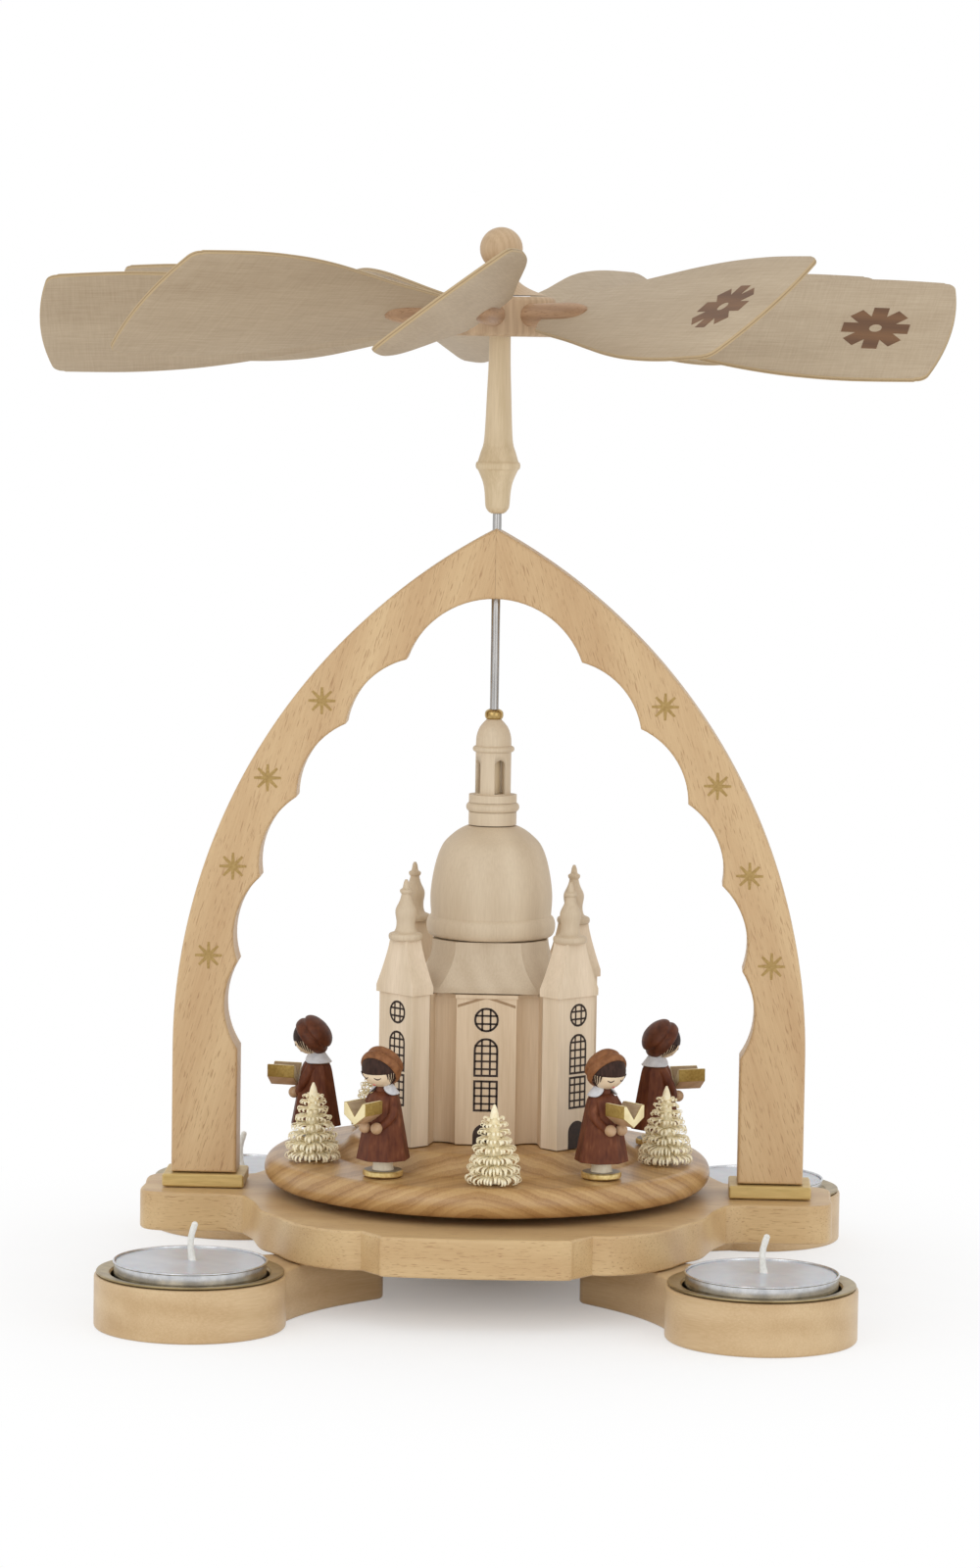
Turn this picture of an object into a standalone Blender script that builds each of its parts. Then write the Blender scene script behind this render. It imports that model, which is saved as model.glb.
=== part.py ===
"""Candle carousel: a wooden Christmas pyramid turned by the warm air of four tealights.

Units are metres, +Z is up, and the spindle's axis is the Z axis. The front is towards -Y.
The stand is a scalloped base plate on four arms, with a pointed arch over it. The spindle
stands in a bearing in the plate, passes through the arch's point and carries a platform with
a church, carol singers and trees. The rotor with its nine blades is pushed on the spindle's
upper end.
"""

import math

import bmesh
import bpy
from mathutils import Matrix, Vector

# Clearances and fineness
GAP = 0.0003
RUN = 0.00025
OVERRUN = 0.002
MERGE = 0.00001
FULL_TURN = math.tau
WIDE_STEPS = 36
ROUND_STEPS = 24
SMALL_STEPS = 12
FINE_STEPS = 10
HAND_STEPS = 6
TINY_STEPS = 8
SHARP_ANGLE = math.radians(32)

# Tealights: a standard cup, with its wax and wick
TEALIGHT_RADIUS = 0.0192
TEALIGHT_HEIGHT = 0.0141
TEALIGHT_WALL = 0.0004
WAX_DROP = 0.0007
WAX_CROWN = 0.0004
WICK_RADIUS = 0.0009
WICK_HEIGHT = 0.0088
WICK_LEAN = 0.0016

# Candle inserts: turned brass cups with a wide, dished flange
INSERT_CLEARANCE = 0.0005
INSERT_WALL = 0.0004
INSERT_FLANGE_RADIUS = 0.0233
INSERT_FLANGE_THICKNESS = 0.0005
INSERT_DISH = 0.0006

# Arms: a round holder with a waisted tail that runs in under the base plate
ARM_INSET_X = 0.0184
ARM_INSET_Y = 0.0031
ARM_THICKNESS = 0.0132
ARM_FLOOR = 0.0015
HOLDER_RADIUS = 0.0238
ARM_ROUNDING = 0.0007
TAIL_START = 0.0205
TAIL_END = 0.062
TAIL_END_HALF_WIDTH = 0.0041
TAIL_CURVE_POWER = 2.5
TAIL_POINTS = 6
TAIL_END_POINTS = 6

# Base plate: it reaches past the arch at the ends and past the platform at front and back
PLATE_PAST_ARCH = 0.007
PLATE_PAST_PLATFORM = 0.0141
PLATE_THICKNESS = 0.0101
PLATE_ROUNDING = 0.0007
CENTRE_LOBE_SHARES = ((0.0, 1.0), (0.236, 0.982), (0.274, 0.952), (0.322, 0.878))
SIDE_LOBE_SHARES = (
    (0.322, 0.878), (0.374, 0.877), (0.458, 0.83), (0.528, 0.74), (0.579, 0.618), (0.627, 0.526),
    (0.66, 0.36), (0.697, 0.24),
)
END_LOBE_SHARES = ((0.697, 0.24), (0.76, 0.21), (0.94, 0.208), (1.0, 0.15), (1.0, 0.0))
LOBE_CURVE_STEPS = 2

# Pivot bearing in the base plate
BEARING_RADIUS = 0.0035
BEARING_HEIGHT = 0.0055
BEARING_RIM = 0.0006
BEARING_DIMPLE_RADIUS = 0.0017
BEARING_DIMPLE_DEPTH = 0.002

# Foot plates under the arch's legs
FOOT_MARGIN_X = 0.00215
FOOT_MARGIN_Y = 0.0018
FOOT_THICKNESS = 0.0033
FOOT_CHAMFER = 0.0004
FOOT_CLEARANCE = 0.0048

# Arch: two halves, glued at the point
ARCH_THICKNESS = 0.0126
ARCH_ROUNDING = 0.0008
ARCH_LEG_WIDTH = 0.0169
ARCH_RISE = 0.136
ARCH_STRAIGHT = 0.0325
ARCH_CUSP_DEPTH = 0.0148
ARCH_CROWN_DEPTH = 0.018
SCALLOPS = 5
SCALLOP_PITCH = math.radians(9.45)
SCALLOP_SAGITTA = 0.0034
SCALLOP_POINTS = 6
ARCH_POINTS = 16

# Spindle
SPINDLE_RADIUS = 0.00115
SPINDLE_POINT = 0.003
SPINDLE_INTO_FINIAL = 0.004

# Platform: an annulus for figures and trees, and a raised middle for the church
PLATFORM_RIM = 0.0035
PLATFORM_UNDERCUT = 0.0077
PLATFORM_LIFT = 0.0021
PLATFORM_THICKNESS = 0.0076
PLATFORM_RAISE = 0.0051
RAISE_MARGIN = 0.0002
RAISE_SLOPE = 0.007
EDGE_POINTS = 6
COVE_POINTS = 4

# Church: four bays, four corner wings, and a tower before each wing
BAY_HALF_WIDTH = 0.0077
BAY_FRONT = 0.0207
RECESS_DEPTH = 0.0037
CHURCH_WALL_HEIGHT = 0.0387
CORNICE_HEIGHT = 0.0008
CORNICE_OVERHANG = 0.0004
TOWER_OFFSET = 0.0003
TOWER_WIDTH = 0.0127
TOWER_DEPTH = 0.0059
EAVE_OVERHANG = 0.0006
EAVE_HEIGHT = 0.0018
TOWER_ROOF_HEIGHT = 0.0139
TOWER_ROOF_TOP_WIDTH = 0.0062
TOWER_ROOF_TOP_DEPTH = 0.005
TOWER_ROOF_STEPS = 3
TOWER_ROOF_POWER = 1.25
FINIAL_HEIGHT = 0.0155
FINIAL_SINK = 0.0003
FINIAL_RADIUS = 0.00435
FINIAL_SHARES = (
    (0.0, 0.93), (0.06, 1.0), (0.115, 0.95), (0.13, 0.62), (0.27, 0.49), (0.37, 0.54), (0.47, 0.6),
    (0.56, 0.55), (0.66, 0.36), (0.76, 0.23), (0.79, 0.34), (0.84, 0.34), (0.87, 0.2), (1.0, 0.1),
)
ROOF_SIDES = 8
ROOF_INSET = 0.0004
ROOF_TUCK = 0.002
ROOF_HEIGHT = 0.0124
ROOF_POINTS = 6
ROOF_SWEEP_POWER = 2.2
DOME_RING_OVERHANG = 0.0009
DOME_RING_HEIGHT = 0.0054
DOME_RADIUS = 0.0158
DOME_HEIGHT = 0.0232
DOME_SHARES = (
    (0.0, 0.985), (0.22, 1.0), (0.45, 0.96), (0.65, 0.89), (0.8, 0.79), (0.91, 0.63), (1.0, 0.4),
)

# Lantern on the dome, with a brass bead on top
LANTERN_DRUM_RADIUS = 0.0062
LANTERN_RING_RADIUS = 0.0069
LANTERN_RADIUS = 0.0046
LANTERN_CORNICE_RADIUS = 0.0054
LANTERN_BORE = 0.0033
LANTERN_DRUM_HEIGHT = 0.0033
LANTERN_RING_HEIGHT = 0.0025
LANTERN_STEP_HEIGHT = 0.002
LANTERN_WALL_HEIGHT = 0.011
LANTERN_CORNICE_HEIGHT = 0.0016
LANTERN_CAP_HEIGHT = 0.007
LANTERN_CAP_SHARES = ((0.0, 1.0), (0.35, 0.97), (0.65, 0.82), (0.85, 0.6), (1.0, 0.38))
LANTERN_ARC_POINTS = 5
LANTERN_OPENINGS = 4
LANTERN_OPENING_WIDTH = 0.003
LANTERN_OPENING_HEIGHT = 0.0088
LANTERN_TURN = math.radians(26)
BEAD_RADIUS = 0.0024
BEAD_HEIGHT = 0.0031
BEAD_SHARES = ((0.0, 0.62), (0.3, 0.98), (0.7, 0.98), (1.0, 0.62))

# Carol singers and trees, five of each, turn and turn about
FIGURES = 5
FIGURE_PITCH = FULL_TURN / FIGURES
FIRST_FIGURE = math.radians(-122)
FIRST_TREE = math.radians(-86)
FIGURE_CLEARANCE = 0.0014
FIGURE_BASE_RADIUS = 0.0051
FIGURE_BASE_HEIGHT = 0.0016
LEG_RADIUS = 0.003
LEG_HEIGHT = 0.0035
COAT_HEIGHT = 0.0168
COAT_HEM_RADIUS = 0.0069
COAT_TOP_RADIUS = 0.0036
COAT_SIDES = 8
COAT_SHARES = ((0.0, 1.0), (0.45, 0.55), (0.86, 0.1), (1.0, -0.25))
COLLAR_SINK = 0.0006
COLLAR_HEIGHT = 0.0034
COLLAR_SHARES = ((0.0, 1.02), (0.35, 0.98), (1.0, 0.5))
HEAD_RADIUS = 0.0045
HEAD_FORWARD = 0.0018
HEAD_LIFT = 0.0062
CAP_RADIUS = 0.005
CAP_FORWARD = 0.0004
CAP_LIFT = 0.0013
CAP_HEIGHT_SHARE = 0.88
HAND_RADIUS = 0.0015
HAND_SPREAD = 0.0018
HAND_FORWARD = 0.0056
HAND_HEIGHT = 0.0085
FOREARM_RADIUS = 0.0011
BOOK_LENGTH = 0.0074
BOOK_START = 0.0052
BOOK_HALF_WIDTH = 0.0033
BOOK_HEIGHT = 0.0057
BOOK_BEVEL_HEIGHT = 0.0025
BOOK_GROOVE_FLOOR = 0.0022
BOOK_EDGE = 0.0009
TREE_CLEARANCE = 0.0004
TREE_HEIGHT = 0.0203
TREE_RADIUS = 0.0069
TREE_TIERS = 5
TREE_LOBES = 7
TREE_NOTCH_SHARE = 0.74
TREE_CORE_SHARE = 0.5
TREE_TIP_SHARE = 0.12

# Rotor
SLEEVE_BOTTOM = 0.0037
SLEEVE_HEIGHT = 0.0451
SLEEVE_RADIUS = 0.00575
SLEEVE_SHARES = (
    (0.0, 0.43), (0.02, 0.52), (0.1, 0.59), (0.17, 0.64), (0.21, 0.8), (0.25, 0.98), (0.266, 0.97),
    (0.28, 1.0), (0.335, 0.79), (0.39, 0.67), (0.48, 0.615), (0.84, 0.495), (1.0, 0.48),
)
HUB_RADIUS = 0.0144
HUB_HEIGHT = 0.0102
HUB_ROUNDING = 0.0012
HUB_RIM_POINTS = 3
FINIAL_FOOT_RADIUS = 0.0122
FINIAL_FOOT_HEIGHT = 0.0065
FINIAL_NECK_RADIUS = 0.0036
FINIAL_FOOT_POINTS = 5
FINIAL_FOOT_POWER = 2.6
BALL_RADIUS = 0.0055
BALL_CENTRE = 0.0119
BLADES = 9
BLADE_PITCH_ANGLE = math.radians(36.7)
FIRST_BLADE = math.radians(-95)
STEM_LIFTS = (1.6, 1.4, -1.2, 0.0, 0.4, 0.2, 0.0, -1.8, 1.0)
STEM_RADIUS = 0.0029
STEM_HOLE_DEPTH = 0.005
STEM_END = 0.0395
STEM_WEDGE = 0.006
STEM_WEDGE_HALF = 0.0009
BLADE_THICKNESS = 0.0012
BLADE_ROOT = 0.0194
BLADE_TIP = 0.1175
BLADE_TIP_SLANT = 0.0015
BLADE_WIDTH = 0.0415
BLADE_ROOT_ROUNDING = 0.004
BLADE_TIP_ROUNDING = 0.003
BLADE_SHARES = (
    (0.0, 0.32), (0.1, 0.43), (0.23, 0.565), (0.36, 0.72), (0.49, 0.865), (0.62, 0.96), (0.78, 1.0),
    (1.0, 0.955),
)
BLADE_CORNER_POINTS = 3

# Widths that follow, from the church in the middle out to the candles
RECESS_FRONT = BAY_FRONT - RECESS_DEPTH
RECESS_END = RECESS_FRONT - RECESS_DEPTH
TOWER_DISTANCE = math.hypot(BAY_FRONT + TOWER_OFFSET, BAY_FRONT + TOWER_OFFSET)
DOME_RING_RADIUS = DOME_RADIUS + DOME_RING_OVERHANG
ROOF_BASE = BAY_FRONT - ROOF_INSET
ROOF_TOP = DOME_RING_RADIUS - ROOF_TUCK
RAISE_RADIUS = math.hypot(TOWER_DISTANCE + TOWER_DEPTH / 2, TOWER_WIDTH / 2) + RAISE_MARGIN
RAISE_FOOT_RADIUS = RAISE_RADIUS + RAISE_SLOPE
FIGURE_CIRCLE = RAISE_FOOT_RADIUS + FIGURE_CLEARANCE + FIGURE_BASE_RADIUS
TREE_CIRCLE = RAISE_FOOT_RADIUS + TREE_CLEARANCE + TREE_RADIUS
PLATFORM_RADIUS = TREE_CIRCLE + TREE_RADIUS + PLATFORM_RIM
PLATFORM_UNDER_RADIUS = PLATFORM_RADIUS - PLATFORM_UNDERCUT
FOOT_LENGTH = ARCH_LEG_WIDTH + 2 * FOOT_MARGIN_X
FOOT_DEPTH = ARCH_THICKNESS + 2 * FOOT_MARGIN_Y
ARCH_HALF_WIDTH = PLATFORM_RADIUS + FOOT_CLEARANCE + (FOOT_LENGTH + ARCH_LEG_WIDTH) / 2
PLATE_HALF_LENGTH = ARCH_HALF_WIDTH + PLATE_PAST_ARCH
PLATE_HALF_DEPTH = PLATFORM_RADIUS + PLATE_PAST_PLATFORM
ARM_X = PLATE_HALF_LENGTH - ARM_INSET_X
ARM_Y = PLATE_HALF_DEPTH - ARM_INSET_Y

# Heights that follow from the sizes above
PLATE_BOTTOM = ARM_THICKNESS + GAP
PLATE_TOP = PLATE_BOTTOM + PLATE_THICKNESS
FOOT_BOTTOM = PLATE_TOP + GAP
ARCH_BOTTOM = FOOT_BOTTOM + FOOT_THICKNESS + GAP
ARCH_SPRING = ARCH_BOTTOM + ARCH_STRAIGHT
ARCH_APEX = ARCH_SPRING + ARCH_RISE
ARCH_OUTER_RADIUS = (ARCH_HALF_WIDTH**2 + ARCH_RISE**2) / (2 * ARCH_HALF_WIDTH)
PLATFORM_BOTTOM = PLATE_TOP + PLATFORM_LIFT
PLATFORM_TOP = PLATFORM_BOTTOM + PLATFORM_THICKNESS
CHURCH_BASE = PLATFORM_TOP + PLATFORM_RAISE + GAP
CHURCH_TOP = CHURCH_BASE + CHURCH_WALL_HEIGHT
ROOF_BOTTOM = CHURCH_TOP + GAP
DOME_BOTTOM = ROOF_BOTTOM + ROOF_HEIGHT + GAP
DOME_TOP = DOME_BOTTOM + DOME_RING_HEIGHT + DOME_HEIGHT
LANTERN_BOTTOM = DOME_TOP + GAP
LANTERN_WALL_BOTTOM = LANTERN_BOTTOM + LANTERN_DRUM_HEIGHT + LANTERN_RING_HEIGHT + LANTERN_STEP_HEIGHT
LANTERN_CAP_BOTTOM = LANTERN_WALL_BOTTOM + LANTERN_WALL_HEIGHT + LANTERN_CORNICE_HEIGHT
BEAD_BOTTOM = LANTERN_CAP_BOTTOM + LANTERN_CAP_HEIGHT + GAP
ROTOR_BOTTOM = ARCH_APEX + SLEEVE_BOTTOM
HUB_BOTTOM = ROTOR_BOTTOM + SLEEVE_HEIGHT + GAP
HUB_TOP = HUB_BOTTOM + HUB_HEIGHT
BLADE_HEIGHT = (HUB_BOTTOM + HUB_TOP) / 2
FINIAL_BOTTOM = HUB_TOP + GAP
SPINDLE_BOTTOM = PLATE_TOP - BEARING_DIMPLE_DEPTH + GAP
SPINDLE_TOP = FINIAL_BOTTOM + SPINDLE_INTO_FINIAL
SPINDLE_BORE = SPINDLE_RADIUS + RUN


def clear_scene():
    for obj in list(bpy.data.objects):
        bpy.data.objects.remove(obj, do_unlink=True)


def finish(name, colour, roughness, metallic=0.0):
    material = bpy.data.materials.new(name)
    material.use_nodes = True
    shader = material.node_tree.nodes["Principled BSDF"]
    shader.inputs["Base Color"].default_value = (*colour, 1.0)
    shader.inputs["Roughness"].default_value = roughness
    shader.inputs["Metallic"].default_value = metallic
    return material


def beech():
    return finish("beech", (0.60, 0.44, 0.25), 0.45)


def honey_wood():
    return finish("honey_wood", (0.52, 0.33, 0.14), 0.4)


def pale_wood():
    return finish("pale_wood", (0.68, 0.55, 0.40), 0.6)


def plywood():
    return finish("plywood", (0.47, 0.36, 0.23), 0.6)


def brass():
    return finish("brass", (0.62, 0.47, 0.2), 0.3, 1.0)


def steel():
    return finish("steel", (0.6, 0.6, 0.6), 0.25, 1.0)


def aluminium():
    return finish("aluminium", (0.8, 0.8, 0.82), 0.25, 1.0)


def wax():
    return finish("wax", (0.75, 0.75, 0.78), 0.5)


def coat_paint():
    return finish("coat_paint", (0.12, 0.045, 0.025), 0.6)


def book_paint():
    return finish("book_paint", (0.45, 0.33, 0.12), 0.5)


def shavings():
    return finish("shavings", (0.80, 0.68, 0.44), 0.7)


def add_object(name, mesh, material, place=None):
    """A named object with its material, shaded smooth between its sharp edges."""
    mesh.materials.clear()
    mesh.materials.append(material)
    mesh.shade_smooth()
    mesh.set_sharp_from_angle(angle=SHARP_ANGLE)
    obj = bpy.data.objects.new(name, mesh)
    bpy.context.collection.objects.link(obj)
    if place is not None:
        obj.matrix_world = place
    return obj


def to_mesh(name, bm):
    bmesh.ops.recalc_face_normals(bm, faces=bm.faces)
    mesh = bpy.data.meshes.new(name)
    bm.to_mesh(mesh)
    bm.free()
    return mesh


def helper(name, mesh, place=None):
    """A cutter or a shape to join, which isn't part of the object."""
    obj = bpy.data.objects.new(name, mesh)
    bpy.context.collection.objects.link(obj)
    obj.hide_render = True
    obj.display_type = "WIRE"
    if place is not None:
        obj.matrix_world = place
    return obj


def combine(obj, other, operation):
    step = obj.modifiers.new(operation.lower() + "_" + other.name, "BOOLEAN")
    step.operation = operation
    step.solver = "EXACT"
    step.object = other


def cut(obj, cutter):
    combine(obj, cutter, "DIFFERENCE")


def join(obj, other):
    combine(obj, other, "UNION")


def spun(profile, steps, closed=False):
    """A solid of revolution about Z from (radius, height) points."""
    bm = bmesh.new()
    line = [bm.verts.new((radius, 0, height)) for radius, height in profile]
    edges = [bm.edges.new(pair) for pair in zip(line, line[1:])]
    if closed:
        edges.append(bm.edges.new((line[-1], line[0])))
    bmesh.ops.spin(bm, geom=line + edges, cent=(0, 0, 0), axis=(0, 0, 1), angle=FULL_TURN, steps=steps)
    bmesh.ops.remove_doubles(bm, verts=bm.verts, dist=MERGE)
    return bm


def prism(outline, bottom, top):
    """A flat outline in X and Y, drawn up from one height to another."""
    bm = bmesh.new()
    base = bm.faces.new([bm.verts.new((x, y, bottom)) for x, y in outline])
    drawn = bmesh.ops.extrude_face_region(bm, geom=[base])
    risen = [item for item in drawn["geom"] if isinstance(item, bmesh.types.BMVert)]
    bmesh.ops.translate(bm, verts=risen, vec=(0, 0, top - bottom))
    bmesh.ops.recalc_face_normals(bm, faces=bm.faces)
    return bm


def ease_flat_edges(bm, width, axis=2):
    """A small bevel round the edges of the two flat faces square to an axis."""
    flat = [face for face in bm.faces if abs(face.normal[axis]) > math.cos(SHARP_ANGLE)]
    edges = {edge for face in flat for edge in face.edges}
    bmesh.ops.bevel(bm, geom=list(edges), offset=width, segments=1, profile=0.5, affect="EDGES")


def block(size_x, size_y, size_z):
    bm = bmesh.new()
    bmesh.ops.create_cube(bm, size=1)
    bmesh.ops.scale(bm, vec=(size_x, size_y, size_z), verts=bm.verts)
    return bm


def rod_shape(radius, bottom, top, steps):
    return spun([(0, bottom), (radius, bottom), (radius, top), (0, top)], steps)


def arc(centre, radius, start, stop, count):
    """Points along an arc, both ends included."""
    angles = [start + (stop - start) * i / (count - 1) for i in range(count)]
    return [(centre[0] + radius * math.cos(a), centre[1] + radius * math.sin(a)) for a in angles]


def bulged(first, last, sagitta, count):
    """Points from one end of a chord to the other along an arc that bulges to its left."""
    a = Vector(first)
    b = Vector(last)
    chord = (b - a).length
    radius = (chord * chord / 4 + sagitta * sagitta) / (2 * sagitta)
    left = Vector((a.y - b.y, b.x - a.x)) / chord
    centre = (a + b) / 2 + left * (sagitta - radius)
    start = math.atan2(a.y - centre.y, a.x - centre.x)
    sweep = 2 * math.asin(chord / (2 * radius))
    return arc(centre, radius, start, start - sweep, count)


def smooth_through(points, steps):
    """A curve through the points, with level ends, for outlines that flow."""
    full = [points[0], *points, points[-1]]
    curve = []
    for before, start, end, after in zip(full, full[1:], full[2:], full[3:]):
        for i in range(steps):
            t = i / steps
            point = []
            for a, b, c, d in zip(before, start, end, after):
                bend = 2 * a - 5 * b + 4 * c - d
                twist = 3 * b - a - 3 * c + d
                point.append((2 * b + (c - a) * t + bend * t**2 + twist * t**3) / 2)
            curve.append(tuple(point))
    return curve + [points[-1]]


def turned(angle, radius=0.0, height=0.0):
    """A place on a circle round the spindle, with local +X facing away from it."""
    return Matrix.Rotation(angle, 4, "Z") @ Matrix.Translation((radius, 0, height))


def mirrored_quarters(quarter):
    """The full outline from its quarter with x and y of 0 or more, run from the X axis to the Y axis."""
    upper = quarter + [(-x, y) for x, y in reversed(quarter) if x > MERGE]
    return upper + [(x, -y) for x, y in reversed(upper) if y > MERGE]


def plate_outline():
    lobes = [
        smooth_through(CENTRE_LOBE_SHARES, LOBE_CURVE_STEPS),
        smooth_through(SIDE_LOBE_SHARES, LOBE_CURVE_STEPS)[1:],
        smooth_through(END_LOBE_SHARES, LOBE_CURVE_STEPS)[1:],
    ]
    quarter = [(x * PLATE_HALF_LENGTH, y * PLATE_HALF_DEPTH) for lobe in lobes for x, y in lobe]
    return mirrored_quarters(list(reversed(quarter)))


def make_base_plate():
    bm = prism(plate_outline(), PLATE_BOTTOM, PLATE_TOP)
    ease_flat_edges(bm, PLATE_ROUNDING)
    plate = add_object("base_plate", to_mesh("base_plate", bm), beech())
    seat_bottom = PLATE_TOP - BEARING_HEIGHT - GAP
    seat = rod_shape(BEARING_RADIUS + GAP, seat_bottom, PLATE_TOP + OVERRUN, SMALL_STEPS)
    cut(plate, helper("bearing_seat_cutter", to_mesh("bearing_seat_cutter", seat)))


def arm_outline():
    """The arm in its own frame, with the holder at the origin and the tail along +X."""
    neck = math.acos(TAIL_START / HOLDER_RADIUS)
    holder = arc((0, 0), HOLDER_RADIUS, neck, FULL_TURN - neck, ROUND_STEPS)
    widest = HOLDER_RADIUS * math.sin(neck)
    end = TAIL_END - TAIL_END_HALF_WIDTH
    side = []
    for i in range(1, TAIL_POINTS + 1):
        share = i / TAIL_POINTS
        half = TAIL_END_HALF_WIDTH + (widest - TAIL_END_HALF_WIDTH) * (1 - share) ** TAIL_CURVE_POWER
        side.append((TAIL_START + (end - TAIL_START) * share, half))
    rounded = arc((end, 0), TAIL_END_HALF_WIDTH, -math.pi / 2, math.pi / 2, TAIL_END_POINTS)[1:-1]
    return holder + [(x, -y) for x, y in side] + rounded + list(reversed(side))


def insert_outer_radius():
    return TEALIGHT_RADIUS + INSERT_CLEARANCE + INSERT_WALL


def make_arm(name, place):
    bm = prism(arm_outline(), 0, ARM_THICKNESS)
    ease_flat_edges(bm, ARM_ROUNDING)
    arm = add_object(name, to_mesh(name, bm), beech(), place)
    hole = rod_shape(insert_outer_radius() + GAP, ARM_FLOOR, ARM_THICKNESS + OVERRUN, ROUND_STEPS)
    cut(arm, helper(name + "_hole_cutter", to_mesh(name + "_hole_cutter", hole), place))


def insert_profile():
    outer = insert_outer_radius()
    inner = outer - INSERT_WALL
    floor = ARM_FLOOR + GAP
    flange = ARM_THICKNESS + GAP
    rim = flange + INSERT_FLANGE_THICKNESS
    return [
        (0, floor), (outer, floor), (outer, flange), (INSERT_FLANGE_RADIUS, flange),
        (INSERT_FLANGE_RADIUS, rim), (inner, rim - INSERT_DISH), (inner, floor + INSERT_WALL),
        (0, floor + INSERT_WALL),
    ]


def tealight_bottom():
    return ARM_FLOOR + GAP + INSERT_WALL + GAP


def make_insert(name, place):
    add_object(name, to_mesh(name, spun(insert_profile(), ROUND_STEPS)), brass(), place)


def make_tealight_cup(name, place):
    bottom = tealight_bottom()
    top = bottom + TEALIGHT_HEIGHT
    inner = TEALIGHT_RADIUS - TEALIGHT_WALL
    profile = [
        (0, bottom), (TEALIGHT_RADIUS, bottom), (TEALIGHT_RADIUS, top), (inner, top),
        (inner, bottom + TEALIGHT_WALL), (0, bottom + TEALIGHT_WALL),
    ]
    add_object(name, to_mesh(name, spun(profile, ROUND_STEPS)), aluminium(), place)


def make_tealight_wax(name, place):
    bottom = tealight_bottom() + TEALIGHT_WALL + GAP
    level = tealight_bottom() + TEALIGHT_HEIGHT - WAX_DROP
    edge = TEALIGHT_RADIUS - TEALIGHT_WALL - GAP
    profile = [(0, bottom), (edge, bottom), (edge, level), (0, level + WAX_CROWN)]
    candle = add_object(name, to_mesh(name, spun(profile, ROUND_STEPS)), wax(), place)
    wick = rod_shape(WICK_RADIUS, level - WICK_RADIUS, level + WICK_HEIGHT, TINY_STEPS)
    for vert in wick.verts:
        vert.co.x += WICK_LEAN * (vert.co.z - level) / WICK_HEIGHT
    join(candle, helper(name + "_wick", to_mesh(name + "_wick", wick), place))


def make_candle_places():
    for name, side_x, side_y in (
        ("front_left", -1, -1), ("front_right", 1, -1), ("rear_left", -1, 1), ("rear_right", 1, 1),
    ):
        x = side_x * ARM_X
        y = side_y * ARM_Y
        place = Matrix.Translation((x, y, 0))
        inwards = Matrix.Rotation(math.atan2(-y, -x), 4, "Z")
        make_arm("arm_" + name, place @ inwards)
        make_insert("candle_insert_" + name, place)
        make_tealight_cup("tealight_cup_" + name, place)
        make_tealight_wax("tealight_wax_" + name, place)


def make_pivot_bearing():
    bottom = PLATE_TOP - BEARING_HEIGHT
    profile = [
        (0, bottom), (BEARING_RADIUS, bottom), (BEARING_RADIUS, PLATE_TOP - BEARING_RIM),
        (BEARING_RADIUS - BEARING_RIM, PLATE_TOP), (BEARING_DIMPLE_RADIUS, PLATE_TOP),
        (0, PLATE_TOP - BEARING_DIMPLE_DEPTH),
    ]
    add_object("pivot_bearing", to_mesh("pivot_bearing", spun(profile, SMALL_STEPS)), brass())


def make_foot_plates():
    middle = ARCH_HALF_WIDTH - ARCH_LEG_WIDTH / 2
    for name, side in (("foot_plate_left", -1), ("foot_plate_right", 1)):
        bm = block(FOOT_LENGTH, FOOT_DEPTH, FOOT_THICKNESS)
        bmesh.ops.recalc_face_normals(bm, faces=bm.faces)
        bmesh.ops.bevel(bm, geom=bm.edges[:], offset=FOOT_CHAMFER, segments=1, profile=0.5, affect="EDGES")
        place = Matrix.Translation((side * middle, 0, FOOT_BOTTOM + FOOT_THICKNESS / 2))
        add_object(name, to_mesh(name, bm), brass(), place)


def arch_outline():
    """Half the arch in X and Z, from its leg over the point and back along the scallops."""
    centre = (ARCH_HALF_WIDTH - ARCH_OUTER_RADIUS, ARCH_SPRING)
    seam = GAP / 2
    point = math.acos((seam - centre[0]) / ARCH_OUTER_RADIUS)
    outer = arc(centre, ARCH_OUTER_RADIUS, 0, point, ARCH_POINTS)
    cusp_radius = ARCH_OUTER_RADIUS - ARCH_CUSP_DEPTH
    leg_inner = ARCH_HALF_WIDTH - ARCH_LEG_WIDTH
    cusps = [(leg_inner, ARCH_SPRING)]
    for i in range(1, SCALLOPS + 1):
        angle = SCALLOP_PITCH * i
        cusps.append((centre[0] + cusp_radius * math.cos(angle), centre[1] + cusp_radius * math.sin(angle)))
    crown = (seam, ARCH_APEX - ARCH_CROWN_DEPTH)
    crown_rise = crown[1] - cusps[-1][1]
    crown_radius = (cusps[-1][0] ** 2 + crown_rise**2) / (2 * crown_rise)
    crown_middle = (0, crown[1] - crown_radius)
    end = math.atan2(cusps[-1][1] - crown_middle[1], cusps[-1][0])
    inner = arc(crown_middle, crown_radius, math.pi / 2, end, SCALLOP_POINTS)
    inner[0] = crown
    for upper, lower in zip(reversed(cusps[1:]), reversed(cusps[:-1])):
        inner += bulged(upper, lower, SCALLOP_SAGITTA, SCALLOP_POINTS)[1:]
    return [(leg_inner, ARCH_BOTTOM), (ARCH_HALF_WIDTH, ARCH_BOTTOM), *outer, *inner]


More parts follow.
